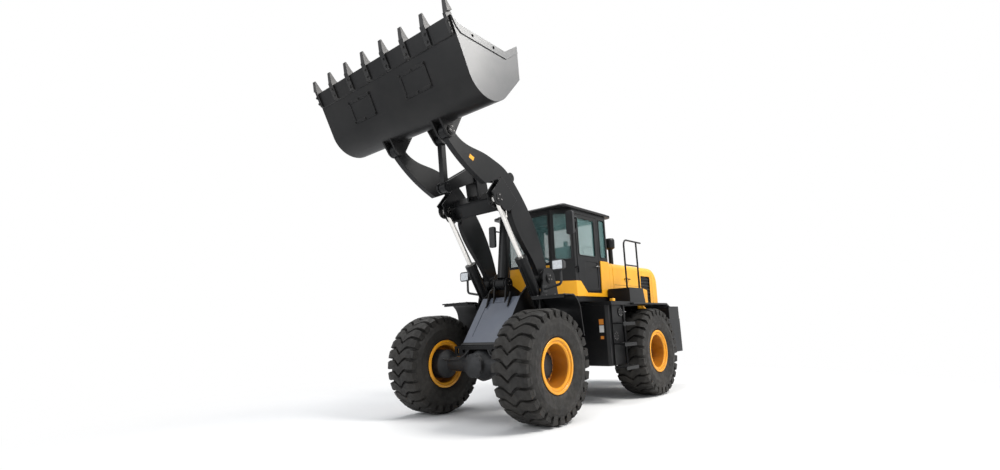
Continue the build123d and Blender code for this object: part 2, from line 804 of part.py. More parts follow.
with BuildPart() as bucket:
    for side in (1, -1):
        for x_mid in (arm_x - tip_half - side_gap - ear_thickness / 2, ear_reach - ear_thickness / 2):
            low, high = spans(side, x_mid - ear_thickness / 2, x_mid + ear_thickness / 2)
            side_plate(bucket_points(ear_points), low, high, discs=((pin_y, pin_z, 95),))
        low, high = spans(side, arm_x - tip_half - side_gap, arm_x + tip_half + side_gap)
        round_x(pin_y, pin_z, bucket_pin_radius, low, high)
        low, high = spans(side, ear_reach, ear_reach + 18)
        round_x(pin_y, pin_z, 70, low, high)
        low, high = spans(side, link_half_width + side_gap, link_half_width + side_gap + ear_thickness)
        side_plate(bucket_points(link_ear_points), low, high, discs=((link_y, link_z, 85),))
    round_x(link_y, link_z, link_pin_radius, -link_half_width - side_gap, link_half_width + side_gap)
    extrude(bucket_outline(), amount=2 * half_shell)
    extrude(bucket_cavity(), amount=2 * (half_shell - bucket_side), mode=Mode.SUBTRACT)
    for side in (1, -1):
        # The strip that closes each side's upper edge, with its two holes
        low, high = spans(side, half_shell, half_bucket)
        side_plate(bucket_points(strip_points), low, high)
        low, high = spans(side, half_shell - bucket_side, half_bucket)
        for hole in strip_holes:
            round_x(*bucket_point(*hole), 20, low, high, Mode.SUBTRACT)
        # Framed wear plates under the floor
        low, high = spans(side, wear_x[0], wear_x[1])
        side_plate([lip_point(a, b) for a, b in wear_points], low, high)
        low, high = spans(side, wear_x[0] + 40, wear_x[1] - 40)
        side_plate([lip_point(a, b) for a, b in wear_recess], low, high, Mode.SUBTRACT)
save(bucket.part, "bucket")

# Teeth: an adapter whose legs straddle the lip, and a point that tapers from it
adapter_points = [
    (-230, shaft_gap),
    (-200, 38),
    (40, 42),
    (40, -bucket_plate - 40),
    (-100, -bucket_plate - 38),
    (-130, -bucket_plate - shaft_gap),
    (shaft_gap, -bucket_plate - shaft_gap),
    (shaft_gap, shaft_gap),
]
tooth_pitch = (bucket_width - tooth_width) / (tooth_count - 1)
tooth_direction = (0, -lip_along.X, lip_along.Y)


def tooth_section(x_mid, along, low_out, high_out, width):
    """The square end of one stretch of a tooth, at a distance past the lip."""
    y, z = lip_point(along, (low_out + high_out) / 2)
    with BuildSketch(Plane(origin=(x_mid, y, z), x_dir=(1, 0, 0), z_dir=tooth_direction)) as section:
        Rectangle(width, high_out - low_out)
    return section.sketch


with BuildPart() as teeth:
    for index in range(tooth_count):
        tooth_low = -half_bucket + index * tooth_pitch
        side_plate([lip_point(a, b) for a, b in adapter_points], tooth_low, tooth_low + tooth_width)
        tooth_mid = tooth_low + tooth_width / 2
        root = tooth_section(tooth_mid, 40, -bucket_plate - 34, 36, tooth_width - 10)
        point = tooth_section(tooth_mid, tooth_reach, -24, -4, tooth_width - 30)
        loft([root, point])
    for side in (1, -1):
        low, high = spans(side, half_shell - bucket_side - 2, half_bucket + 2)
        corner = [(-160, -bucket_plate - 120), (60, -bucket_plate - 120), (39, 60), (-260, 60)]
        side_plate([lip_point(a, b) for a, b in corner], low, high, Mode.SUBTRACT)
save(teeth.part, "bucket_teeth")


# Cylinders: barrels with base eyes, and rods whose free eyes carry a flush pin
def barrel(base, eye, barrel_radius, rod_radius, length, pin_radius, eye_half):
    """A barrel along the line from base to eye, bored for its rod and its base pin."""
    rod_between(base, eye, barrel_radius, barrel_radius - 5, length)
    rod_between(base, eye, barrel_radius + 6, length - 90, length)
    round_x(base[1], base[2], barrel_radius, base[0] - eye_half, base[0] + eye_half)
    rod_between(base, eye, rod_radius + shaft_gap, barrel_radius + 30, length + 1, Mode.SUBTRACT)
    round_x(base[1], base[2], pin_radius + shaft_gap, base[0] - 200, base[0] + 200, Mode.SUBTRACT)


def rod(base, eye, rod_radius, start, eye_radius, eye_half):
    """A rod from inside its barrel to an eye at the open end."""
    length = (Vector(*eye) - Vector(*base)).length
    rod_between(base, eye, rod_radius, start, length - eye_radius / 2)
    round_x(eye[1], eye[2], eye_radius, eye[0] - eye_half, eye[0] + eye_half)


lift_eye_y, lift_eye_z = boom_point(*lift_eye)
with BuildPart() as lift_barrels:
    for side in (1, -1):
        base = (side * arm_x, lift_base[0], lift_base[1])
        eye = (side * arm_x, lift_eye_y, lift_eye_z)
        barrel(base, eye, lift_barrel_radius, lift_rod_radius, lift_barrel_length, arm_pin_radius, 80)
save(lift_barrels.part, "lift_cylinder_barrels")
with BuildPart() as lift_rods:
    for side in (1, -1):
        base = (side * arm_x, lift_base[0], lift_base[1])
        eye = (side * arm_x, lift_eye_y, lift_eye_z)
        rod(base, eye, lift_rod_radius, 940, 72, 40)
save(lift_rods.part, "lift_cylinder_rods")

tilt_base_point = (0, tilt_base[0], tilt_base[1])
tilt_eye_point = (0, high_y, high_z)
with BuildPart() as tilt_barrel:
    barrel(
        tilt_base_point,
        tilt_eye_point,
        tilt_barrel_radius,
        tilt_rod_radius,
        tilt_barrel_length,
        crank_pin_radius,
        90,
    )
save(tilt_barrel.part, "tilt_cylinder_barrel")
with BuildPart() as tilt_rod:
    rod(tilt_base_point, tilt_eye_point, tilt_rod_radius, 725, 70, 45)
save(tilt_rod.part, "tilt_cylinder_rod")

for steer_name, side in (("left", 1), ("right", -1)):
    rear_pin = (side * steer_rear_pin[0], pivot_y + steer_rear_pin[1], steer_z)
    front_pin = (side * steer_front_pin[0], pivot_y + steer_front_pin[1], steer_z)
    with BuildPart() as steer_barrel:
        rod_between(rear_pin, front_pin, 30, 30, 90)
        rod_between(rear_pin, front_pin, steer_barrel_radius, 85, steer_barrel_length)
        round_z(rear_pin[0], rear_pin[1], 52, steer_z - 32, steer_z + 32)
        bore = steer_rod_radius + shaft_gap
        rod_between(rear_pin, front_pin, bore, 95, steer_barrel_length + 1, Mode.SUBTRACT)
        bore = steer_pin_radius + shaft_gap
        round_z(rear_pin[0], rear_pin[1], bore, steer_z - 60, steer_z + 60, Mode.SUBTRACT)
    save(steer_barrel.part, f"steering_barrel_{steer_name}")
    with BuildPart() as steer_rod:
        reach = steer_rear_pin[1] - steer_front_pin[1]
        rod_between(rear_pin, front_pin, steer_rod_radius, 402, reach - 30)
        round_z(front_pin[0], front_pin[1], 48, steer_z - 30, steer_z + 30)
    save(steer_rod.part, f"steering_rod_{steer_name}")

# Rear frame: two beams, the hinge forks with their pins, cross members and axle hangers
beam_x = (250.0, 300.0)
beam_rear = wheelbase / 2 + 920
rear_web = [
    behind(260, 1335),
    behind(900, 1300),
    behind(beam_rear, 1300),
    behind(beam_rear, 980),
    behind(1150, 980),
    behind(950, 560),
    behind(260, 525),
]
hinge_plan_rear = [
    (-beam_x[1], pivot_y + 300),
    (beam_x[1], pivot_y + 300),
    (110, pivot_y - 50),
    (-110, pivot_y - 50),
]
with BuildPart() as rear_frame:
    for side in (1, -1):
        low, high = spans(side, *beam_x)
        side_plate(rear_web, low, high)
        rear_pin_x = side * steer_rear_pin[0]
        rear_pin_y = pivot_y + steer_rear_pin[1]
        steering_ear(side * beam_x[1], rear_pin_x, rear_pin_y, (-40, 160))
        round_z(rear_pin_x, rear_pin_y, steer_pin_radius, steer_z - 48, steer_z + 48)
    block(-beam_x[1], beam_x[1], pivot_y + 260, pivot_y + 300, 525, 1335)
    block(-beam_x[0], beam_x[0], pivot_y + beam_rear - 80, pivot_y + beam_rear, 980, 1300)
    block(-beam_x[0], beam_x[0], pivot_y + 1250, pivot_y + 2450, 1120, 1180)
    for hinge_z in (hinge_upper_z, hinge_lower_z):
        for z_low in (hinge_z - hinge_lug / 2 - fork_gap - fork_plate, hinge_z + hinge_lug / 2 + fork_gap):
            plan_plate(hinge_plan_rear, z_low, z_low + fork_plate, discs=((0, pivot_y, 125),))
        reach = hinge_lug / 2 + fork_gap + fork_plate
        round_z(0, pivot_y, pivot_pin_radius, hinge_z - reach, hinge_z + reach)
    round_y(0, axle_z, 130, pivot_y + 250, pivot_y + 310, Mode.SUBTRACT)
    for hanger_y in (rear_axle_y - 340, rear_axle_y + 280):
        block(-beam_x[1], beam_x[1], hanger_y, hanger_y + 60, 690, 1000)
        round_y(0, axle_z, 90 + shaft_gap, hanger_y - 1, hanger_y + 61, Mode.SUBTRACT)
save(rear_frame.part, "rear_frame")

# Transmission and engine: plain blocks at their real places
with BuildPart() as transmission:
    block(-240, 240, pivot_y + 400, pivot_y + 950, 600, 1250)
    round_y(0, axle_z, 70, pivot_y + 200, pivot_y + 400)
    round_y(0, axle_z, 70, pivot_y + 950, pivot_y + 1010)
save(transmission.part, "transmission")
with BuildPart() as rear_shaft:
    round_y(0, axle_z, 45, pivot_y + 1010, rear_axle_y - 470)
save(rear_shaft.part, "rear_drive_shaft")
with BuildPart() as engine:
    block(-240, 240, pivot_y + 1250, pivot_y + 2450, 1180, 2050)
save(engine.part, "engine_block")

# Counterweight with the recess of the tow hitch and the hole that its pin drops through
weight_points = [
    behind(beam_rear, 980),
    behind(beam_rear, 1480),
    behind(hood_hinge_rel - 10, 1480),
    behind(counterweight_rear, 1330),
    behind(counterweight_rear, 900),
    behind(counterweight_rear - 110, 690),
    past(1020, 690),
]
hinge_ear_points = [
    behind(hood_hinge_rel - 60, 1480),
    behind(hood_hinge_rel - 10, 1550),
    behind(hood_hinge_rel + 10, 1550),
    behind(hood_hinge_rel - 10, 1400),
    behind(hood_hinge_rel - 60, 1400),
]
recess_half_width = 170.0
recess_y = wheelbase / 2 + 1360
recess_top_z = 1010.0
shoulder_z = 1350.0
lamp_inner_x = 830.0
weight_rear_y = pivot_y + counterweight_rear
with BuildPart() as counterweight:
    side_plate(weight_points, -counterweight_half_width, counterweight_half_width)
    with BuildSketch(Plane.XY.offset(600)) as plan:
        with Locations((0, pivot_y + (beam_rear + counterweight_rear) / 2)):
            Rectangle(2 * counterweight_half_width, counterweight_rear - beam_rear)
        fillet(plan.vertices().group_by(Axis.Y)[-1], radius=counterweight_corner)
    extrude(plan.sketch, amount=1000, mode=Mode.INTERSECT)
    for side in (1, -1):
        low, high = spans(side, lamp_inner_x, counterweight_half_width + 1)
        block(low, high, pivot_y + beam_rear - 1, weight_rear_y + 20, shoulder_z, 1500, Mode.SUBTRACT)
        # A lifting recess in each rear face
        low, high = spans(side, 420, 700)
        block(low, high, weight_rear_y - 30, weight_rear_y + 20, 1020, 1200, Mode.SUBTRACT)
    block(
        -recess_half_width,
        recess_half_width,
        pivot_y + recess_y,
        weight_rear_y + 20,
        600,
        recess_top_z,
        Mode.SUBTRACT,
    )
    round_z(0, hitch_y, hitch_radius + 10, recess_top_z - 10, 1500, Mode.SUBTRACT)
    for side in (1, -1):
        for ear_low in (hood_hinge_x - 34, hood_hinge_x + 16):
            low, high = spans(side, ear_low, ear_low + 18)
            side_plate(hinge_ear_points, low, high, discs=((hood_hinge_y, hood_hinge_z, 26),))
        low, high = spans(side, hood_hinge_x - 34, hood_hinge_x + 34)
        round_x(hood_hinge_y, hood_hinge_z, hood_pin_radius, low, high)
save(counterweight.part, "counterweight")
jaw_points = [
    (-90, pivot_y + recess_y + 50),
    (90, pivot_y + recess_y + 50),
    (hitch_outer_radius, hitch_y),
    (-hitch_outer_radius, hitch_y),
]
with BuildPart() as tow_hitch:
    block(-120, 120, pivot_y + recess_y, pivot_y + recess_y + 50, 700, 1000)
    for jaw_z in (760, 900):
        plan_plate(jaw_points, jaw_z, jaw_z + 40, discs=((0, hitch_y, hitch_outer_radius),))
        round_z(0, hitch_y, hitch_radius, jaw_z - 1, jaw_z + 41, Mode.SUBTRACT)
save(tow_hitch.part, "tow_hitch")

# Tail lamp boxes on the counterweight's shoulders
with BuildPart() as tail_lamps:
    for side in (1, -1):
        low, high = spans(side, 860, counterweight_half_width)
        block(low, high, rear_axle_y + 1000, rear_axle_y + 1500, shoulder_z, 1600)
        low, high = spans(side, 900, counterweight_half_width - 40)
        block(low, high, rear_axle_y + 1494, rear_axle_y + 1501, 1400, 1560, Mode.SUBTRACT)
save(tail_lamps.part, "tail_lamps")

# Hood: a tilting shell with louvred sides and rear grille, and the fixed panel ahead of it
louvre_points = [
    past(690, 2000),
    past(705, 2245),
    past(1130, 2245),
    past(1100, 1640),
    past(960, 1640),
    past(960, 1960),
]
grille_half_width = 520.0
grille_z = (1650.0, 2090.0)
slat_pitch = 70.0
slat_height = 14.0


def hood_shell(inset):
    """The hood's outer form, or, with an inset, the room inside it, open below and in front."""
    drop = 0 if inset == 0 else 300
    start = hood_front if inset == 0 else hood_front - 10
    sunk = hood_low_z - drop
    half = hood_half_width - inset
    with BuildPart() as form:
        with BuildSketch(Plane.YZ.offset(-half)) as outline:
            with BuildLine():
                Polyline(
                    behind(start, hood_side_z - drop),
                    behind(start, hood_top_z - inset),
                    behind(hood_rear - inset, hood_top_z - inset),
                    behind(hood_rear - 20 - inset, sunk),
                    past(510, sunk),
                    past(350, hood_side_z - drop),
                    close=True,
                )
            make_face()
            top_rear = outline.vertices().sort_by(lambda corner: corner.X + corner.Y)[-1]
            fillet(top_rear, radius=hood_rear_round - inset)
        extrude(outline.sketch, amount=2 * half)
        top_edges = form.edges().filter_by(
            lambda edge: abs(abs(edge.center().X) - half) < 1
            and edge.center().Z > hood_top_z - inset - 1
        )
        fillet(top_edges, radius=hood_shoulder - inset)
    return form.part


with BuildPart() as hood:
    add(hood_shell(0))
    add(hood_shell(hood_sheet), mode=Mode.SUBTRACT)
    for side in (1, -1):
        low, high = spans(side, hood_half_width - hood_sheet - 1, hood_half_width + 1)
        with BuildSketch(Plane.YZ.offset(low)) as louvre:
            with BuildLine():
                Polyline(*louvre_points, close=True)
            make_face()
            fillet(louvre.vertices(), radius=25)
        extrude(louvre.sketch, amount=high - low, mode=Mode.SUBTRACT)
        low, high = spans(side, hood_half_width - hood_sheet, hood_half_width - 8)
        for index in range(4):
            slat_z = 2040 + index * slat_pitch
            block(low, high, rear_axle_y + 680, rear_axle_y + 1140, slat_z, slat_z + slat_height)
        for index in range(5):
            slat_z = 1690 + index * slat_pitch
            block(low, high, rear_axle_y + 950, rear_axle_y + 1130, slat_z, slat_z + slat_height)
        low, high = spans(side, hood_hinge_x - 10, hood_hinge_x + 10)
        side_plate(
            [
                behind(hood_hinge_rel - 30, hood_hinge_z - 30),
                behind(hood_hinge_rel + 50, hood_hinge_z - 10),
                behind(hood_hinge_rel + 62, hood_hinge_z + 70),
                behind(hood_hinge_rel - 90, hood_hinge_z + 30),
            ],
            low,
            high,
            discs=((hood_hinge_y, hood_hinge_z, 30),),
        )
        block(low, high, hood_hinge_y - 90, hood_hinge_y + 72, hood_hinge_z + 26, hood_hinge_z + 52)
        round_x(hood_hinge_y, hood_hinge_z, hood_pin_radius + shaft_gap, low, high, Mode.SUBTRACT)
    block(
        -grille_half_width,
        grille_half_width,
        pivot_y + hood_rear - 60,
        pivot_y + hood_rear + 10,
        *grille_z,
        Mode.SUBTRACT,
    )
    for index in range(6):
        slat_z = grille_z[0] + 35 + index * slat_pitch
        block(
            -grille_half_width - 5,
            grille_half_width + 5,
            pivot_y + hood_rear - 38,
            pivot_y + hood_rear - 24,
            slat_z,
            slat_z + slat_height,
        )
save(hood.part, "hood")
with BuildPart() as front_panel:
    block(
        -hood_half_width,
        hood_half_width,
        pivot_y + cab_rear + 10,
        pivot_y + hood_front - 8,
        1660,
        hood_top_z,
    )
    fillet(front_panel.edges().filter_by(Axis.Y).group_by(Axis.Z)[-1], radius=hood_shoulder)
save(front_panel.part, "hood_front_panel")

# Air intake bowl and exhaust stack, standing on the hood
intake_spot = (600.0, pivot_y + 1500)
exhaust_spot = (-430.0, pivot_y + 1500)
intake_profile = [(0, 0), (45, 0), (45, 300), (92, 330), (98, 480), (80, 520), (0, 520)]
exhaust_profile = [(0, 0), (52, 0), (52, 60), (85, 90), (85, 330), (48, 370), (48, 610), (0, 610)]
with BuildPart() as stacks:
    for spot, profile in ((intake_spot, intake_profile), (exhaust_spot, exhaust_profile)):
        upright = Plane(origin=(spot[0], spot[1], hood_top_z), x_dir=(1, 0, 0), z_dir=(0, -1, 0))
        with BuildSketch(upright) as half_section:
            with BuildLine():
                Polyline(*profile, close=True)
            make_face()
        revolve(half_section.sketch, axis=Axis((spot[0], spot[1], 0), (0, 0, 1)))
    round_z(exhaust_spot[0], exhaust_spot[1], 40, hood_top_z + 480, hood_top_z + 620, Mode.SUBTRACT)
save(stacks.part, "intake_and_exhaust")

# Side tanks with their round covers
tank_y = (180.0, 820.0)
cover_spots = ((630, 1500), (420, 1100))
with BuildPart() as side_tanks:
    for side in (1, -1):
        low, high = spans(side, 540, tank_outer_x)
        block(low, high, pivot_y + tank_y[0], pivot_y + tank_y[1], 900, deck_top_z - deck_thickness)
        low, high = spans(side, 735, tank_outer_x)
        block(low, high, pivot_y + tank_y[0], pivot_y + tank_y[1], 620, 900)
        with BuildSketch(Plane.XY.offset(560)) as cut_plan:
            with Locations((side * tank_outer_x, pivot_y + tank_y[0])):
                Rectangle(60, 60, rotation=45)
        extrude(cut_plan.sketch, amount=1200, mode=Mode.SUBTRACT)
        low, high = spans(side, beam_x[1], 540)
        block(low, high, pivot_y + 740, pivot_y + tank_y[1], 1000, 1080)
        low, high = spans(side, tank_outer_x, tank_outer_x + 14)
        for cover_y, cover_z in cover_spots:
            round_x(pivot_y + cover_y, cover_z, 78, low, high)
save(side_tanks.part, "side_tanks")
with BuildPart() as decks:
    for side in (1, -1):
        low, high = spans(side, 300, 1240)
        block(low, high, pivot_y + tank_y[0], pivot_y + 880, deck_top_z - deck_thickness, deck_top_z)
        low, high = spans(side, 850, 1200)
        block(low, high, pivot_y + 220, pivot_y + 840, deck_top_z - 4, deck_top_z, Mode.SUBTRACT)
save(decks.part, "decks")

# Ladders: slim rails against each tank, with bent steps that stand out from them
ladder_rails = (305.0, 715.0)
step_outer_x = 1370.0
with BuildPart() as ladders:
    for side in (1, -1):
        for rail_y in ladder_rails:
            low, high = spans(side, tank_outer_x, tank_outer_x + 25)
            block(low, high, pivot_y + rail_y, pivot_y + rail_y + 25, 560, deck_top_z - deck_thickness)
        for step_z in (580, 960, 1300):
            low, high = spans(side, tank_outer_x + 16, step_outer_x)
            block(low, high, pivot_y + ladder_rails[0], pivot_y + ladder_rails[1] + 25, step_z, step_z + 25)
            low, high = spans(side, step_outer_x - 12, step_outer_x)
            block(low, high, pivot_y + ladder_rails[0], pivot_y + ladder_rails[1] + 25, step_z - 30, step_z)
save(ladders.part, "ladders")

# Handrails: one bent hoop a side on the rear platform, with a post and a middle rail
rail_x = 1190.0
rail_radius = 16.0
rail_posts = (910.0, 1410.0)
rail_top_z = 2800.0
with BuildPart() as handrails:
    for side in (1, -1):
        with BuildLine(Plane.YZ.offset(side * rail_x)) as hoop:
            FilletPolyline(
                behind(rail_posts[0], platform_top_z),
                behind(rail_posts[0], rail_top_z),
                behind(1600, rail_top_z),
                radius=110,
            )
        with BuildSketch(Plane(origin=hoop.line @ 0, z_dir=hoop.line % 0)) as tube:
            Circle(rail_radius)
        sweep(tube.sketch, path=hoop.line)
        round_z(side * rail_x, pivot_y + rail_posts[1], rail_radius, platform_top_z, rail_top_z)
        round_y(side * rail_x, 2340, rail_radius - 3, pivot_y + rail_posts[0], pivot_y + rail_posts[1])
save(handrails.part, "handrails")

# Rear mudguards: the raised box behind each deck, and the plate over the wheel
guard_inner_x = max(hood_half_width + 22, cab_half_width + skirt_thickness + 18)
guard_outer_x = 1300.0
platform_outer_x = 1240.0
with BuildPart() as rear_fenders:
    for side in (1, -1):
        low, high = spans(side, 255, guard_outer_x)
        block(low, high, pivot_y + platform_y[0], rear_axle_y + 260, 1630, 1660)
        low, high = spans(side, guard_inner_x, guard_outer_x)
        side_plate(
            [
                past(250, 1630),
                past(250, 1660),
                past(690, 1660),
                past(840, 1590),
                past(825, 1568),
                past(682, 1630),
            ],
            low,
            high,
        )
        low, high = spans(side, guard_inner_x, platform_outer_x)
        side_plate(
            [
                behind(platform_y[0], 1660),
                behind(platform_y[0], platform_top_z),
                behind(platform_y[1], platform_top_z),
                behind(platform_y[1] + 70, 1660),
            ],
            low,
            high,
        )
        low, high = spans(side, 255, 295)
        for post_y in (1500, 1820):
            block(low, high, pivot_y + post_y, pivot_y + post_y + 60, 1300, 1630)
save(rear_fenders.part, "rear_fenders")

# Cab: hollow tub, pillars and roof ring, with its windows and door opening cut
cab_plan = [
    (-cab_chamfer[0], pivot_y + cab_front),
    (cab_chamfer[0], pivot_y + cab_front),
    (cab_half_width, pivot_y + cab_chamfer[1]),
    (cab_half_width, pivot_y + cab_rear),
    (-cab_half_width, pivot_y + cab_rear),
    (-cab_half_width, pivot_y + cab_chamfer[1]),
]
door_corners = [
    (door_y[0], door_z[1]),
    (door_y[1], door_z[1]),
    (door_y[1], door_z[0]),
    (door_cut[0], door_z[0]),
    (door_y[0], door_cut[1]),
]


def window_plane(x, y_rel, low_z, direction):
    """A plane on the cab's outer surface, at a window's middle, facing out."""
    middle = (x, pivot_y + y_rel, (low_z + window_top_z) / 2)
    return Plane(origin=middle, x_dir=(-direction[1], direction[0], 0), z_dir=(*direction, 0))


chamfer_run = (cab_half_width - cab_chamfer[0], cab_chamfer[1] - cab_front)
chamfer_length = math.hypot(*chamfer_run)
chamfer_out = (chamfer_run[1] / chamfer_length, -chamfer_run[0] / chamfer_length)
chamfer_middle = ((cab_chamfer[0] + cab_half_width) / 2, (cab_front + cab_chamfer[1]) / 2)
windows = [
    (window_plane(0, cab_front, 2370, (0, -1)), 2 * cab_chamfer[0] - 110, window_top_z - 2370),
    (window_plane(0, cab_rear, 2520, (0, 1)), 1300, window_top_z - 2520),
    (window_plane(cab_half_width, 875, 2500, (1, 0)), 220, window_top_z - 2500),
    (window_plane(-cab_half_width, 875, 2500, (-1, 0)), 220, window_top_z - 2500),
    (window_plane(-cab_half_width, 330, 2260, (-1, 0)), 680, window_top_z - 2260),
]
for side in (1, -1):
    facing = (side * chamfer_out[0], chamfer_out[1])
    plane = window_plane(side * chamfer_middle[0], chamfer_middle[1], 2420, facing)
    windows.append((plane, chamfer_length - 90, window_top_z - 2420))


def pane(plane, width, height, inset, low, high, mode=Mode.ADD):
    """A round-cornered sheet across a window, between two depths from the cab's outer surface."""
    with BuildSketch(plane.offset(low)) as sheet:
        RectangleRounded(width - 2 * inset, height - 2 * inset, window_round - inset)
    extrude(sheet.sketch, amount=high - low, mode=mode)


def door_face(inset):
    """The door's side outline, smaller by the inset all round, on its inner face."""
    with BuildSketch(Plane.YZ.offset(cab_half_width - door_thickness)) as face:
        with BuildLine():
            Polyline(*[behind(y, z) for y, z in door_corners], close=True)
        make_face()
        if inset > 0:
            offset(amount=-inset, kind=Kind.INTERSECTION, mode=Mode.REPLACE)
    return face.sketch


hinge_half = 60.0
knuckle = 29.0
knuckle_radius = 12.0
with BuildPart() as cab_frame:
    with BuildSketch(Plane.XY.offset(cab_floor_z)) as plan:
        with BuildLine():
            Polyline(*cab_plan, close=True)
        make_face()
    extrude(plan.sketch, amount=cab_top_z - cab_floor_z)
    with BuildSketch(Plane.XY.offset(cab_floor_z + 40)) as room:
        with BuildLine():
            Polyline(*cab_plan, close=True)
        make_face()
        offset(amount=-cab_wall, kind=Kind.INTERSECTION, mode=Mode.REPLACE)
    extrude(room.sketch, amount=cab_top_z, mode=Mode.SUBTRACT)
    for plane, width, height in windows:
        pane(plane, width, height, 0, -cab_wall - 15, 10, Mode.SUBTRACT)
    extrude(door_face(0), amount=door_thickness + 5, mode=Mode.SUBTRACT)
    extrude(door_face(0), amount=-10, mode=Mode.SUBTRACT)
    # Rubber mounts under the floor, and the fixed halves of the door hinges with their pins
    for side in (1, -1):
        for mount_y in (260, 800):
            round_z(side * 600, pivot_y + mount_y, 50, deck_top_z, cab_floor_z)
    for hinge_z in door_hinge_z:
        hinge_low = hinge_z - hinge_half
        hinge_high = hinge_z + hinge_half
        block(cab_half_width, cab_half_width + 5, door_hinge_y - 54, door_hinge_y - 8, hinge_low, hinge_high)
        for knuckle_low in (hinge_low, hinge_high - knuckle):
            knuckle_high = knuckle_low + knuckle
            round_z(door_hinge_x, door_hinge_y, knuckle_radius, knuckle_low, knuckle_high)
            block(cab_half_width, door_hinge_x, door_hinge_y - 12, door_hinge_y, knuckle_low, knuckle_high)
        round_z(door_hinge_x, door_hinge_y, knuckle_radius / 2, hinge_low, hinge_high)
save(cab_frame.part, "cab_frame")

# Yellow skirt: the panels that wrap the cab's foot and its rear quarters
skirt_side_cut = [
    behind(12, 2051),
    behind(222, 1853),
    behind(712, 1853),
    behind(730, skirt_z[1] + 1),
    behind(12, skirt_z[1] + 1),
]
with BuildPart() as cab_skirt:
    with BuildSketch(Plane.XY.offset(skirt_z[0])) as ring:
        with BuildLine():
            Polyline(*cab_plan, close=True)
        make_face()
        offset(amount=skirt_thickness, kind=Kind.INTERSECTION, mode=Mode.REPLACE)
        with BuildLine():
            Polyline(*cab_plan, close=True)
        make_face(mode=Mode.SUBTRACT)
    extrude(ring.sketch, amount=skirt_z[1] - skirt_z[0])
    for side in (1, -1):
        low, high = spans(side, cab_half_width - 80, cab_half_width + 120)
        side_plate(skirt_side_cut, low, high, Mode.SUBTRACT)
        low, high = spans(side, 430, cab_half_width + 120)
        block(low, high, pivot_y - 500, pivot_y + 13, 2050, skirt_z[1] + 1, Mode.SUBTRACT)
    block(-431, 431, pivot_y - 500, pivot_y - 300, 2330, skirt_z[1] + 1, Mode.SUBTRACT)
    half = cab_half_width + 120
    block(-half, half, pivot_y + cab_rear, pivot_y + cab_rear + 50, 1700, 2500, Mode.SUBTRACT)
save(cab_skirt.part, "cab_skirt")

with BuildPart() as cab_roof:
    with BuildSketch(Plane.XY.offset(cab_top_z)) as slab:
        with Locations((0, pivot_y + (roof_y[0] + roof_y[1]) / 2)):
            RectangleRounded(2 * roof_half_width, roof_y[1] - roof_y[0], 130)
    extrude(slab.sketch, amount=roof_thickness * 0.55)
    with BuildSketch(Plane.XY.offset(cab_top_z + roof_thickness * 0.55)) as crown:
        with Locations((0, pivot_y + (roof_y[0] + roof_y[1]) / 2)):
            RectangleRounded(2 * roof_half_width - 60, roof_y[1] - roof_y[0] - 60, 110)
    extrude(crown.sketch, amount=roof_thickness * 0.45, taper=50)
save(cab_roof.part, "cab_roof")

with BuildPart() as cab_glass:
    for plane, width, height in windows:
        pane(plane, width, height, shaft_gap, -glass_depth, glass_thickness - glass_depth)
save(cab_glass.part, "cab_glass")

# Door on the left side, hung at its front edge on two outside hinges
door_window = Plane(
    origin=(cab_half_width, pivot_y + sum(door_window_y) / 2, sum(door_window_z) / 2),
    x_dir=(0, 1, 0),
    z_dir=(1, 0, 0),
)
door_window_size = (door_window_y[1] - door_window_y[0], door_window_z[1] - door_window_z[0])
with BuildPart() as cab_door:
    extrude(door_face(door_gap), amount=door_thickness)
    pane(door_window, *door_window_size, 0, -door_thickness - 10, 10, Mode.SUBTRACT)
    with BuildSketch(Plane.YZ.offset(cab_half_width)) as lower_panel:
        with Locations(behind(430, 2170)):
            RectangleRounded(420, 470, 40)
    extrude(lower_panel.sketch, amount=-8, mode=Mode.SUBTRACT)
    for hinge_z in door_hinge_z:
        lug_low = hinge_z - hinge_half + knuckle + 3
        lug_high = hinge_z + hinge_half - knuckle - 3
        block(cab_half_width, cab_half_width + 5, door_hinge_y + 10, door_hinge_y + 70, lug_low, lug_high)
        block(cab_half_width, door_hinge_x, door_hinge_y + 2, door_hinge_y + 14, lug_low, lug_high)
        round_z(door_hinge_x, door_hinge_y, knuckle_radius, lug_low, lug_high)
        pin_bore = knuckle_radius / 2 + shaft_gap
        round_z(door_hinge_x, door_hinge_y, pin_bore, lug_low - 40, lug_high + 40, Mode.SUBTRACT)
save(cab_door.part, "cab_door")
with BuildPart() as door_glass:
    pane(door_window, *door_window_size, shaft_gap, -glass_depth - 1, glass_thickness - glass_depth - 1)
save(door_glass.part, "door_glass")

# Seat and steering console on the cab's floor
cab_deck_z = cab_floor_z + 40
seat_top_z = 2220.0
with BuildPart() as seat:
    block(-160, 160, pivot_y + 360, pivot_y + 640, cab_deck_z, 2080)
    with BuildSketch(Plane.XY.offset(2080)) as cushion:
        with Locations((0, pivot_y + 480)):
            RectangleRounded(500, 440, 70)
    extrude(cushion.sketch, amount=seat_top_z - 2080)
    back_points = [behind(600, seat_top_z), behind(720, seat_top_z), behind(800, 2860), behind(700, 2860)]
    with BuildSketch(Plane.YZ.offset(-230)) as back:
        with BuildLine():
            Polyline(*back_points, close=True)
        make_face()
        fillet(back.vertices().sort_by(Axis.Y)[-2:], radius=35)
    extrude(back.sketch, amount=460)
save(seat.part, "seat")
with BuildPart() as console:
    column = [behind(-200, cab_deck_z), behind(-60, cab_deck_z), behind(95, 2440), behind(35, 2475)]
    side_plate(column, -60, 60)
    with BuildSketch(Plane(origin=(0, pivot_y + 55, 2440), z_dir=(0, 0.45, 0.9))) as wheel_ring:
        Circle(190)
        Circle(160, mode=Mode.SUBTRACT)
        Rectangle(350, 40)
    extrude(wheel_ring.sketch, amount=30)
save(console.part, "steering_console")

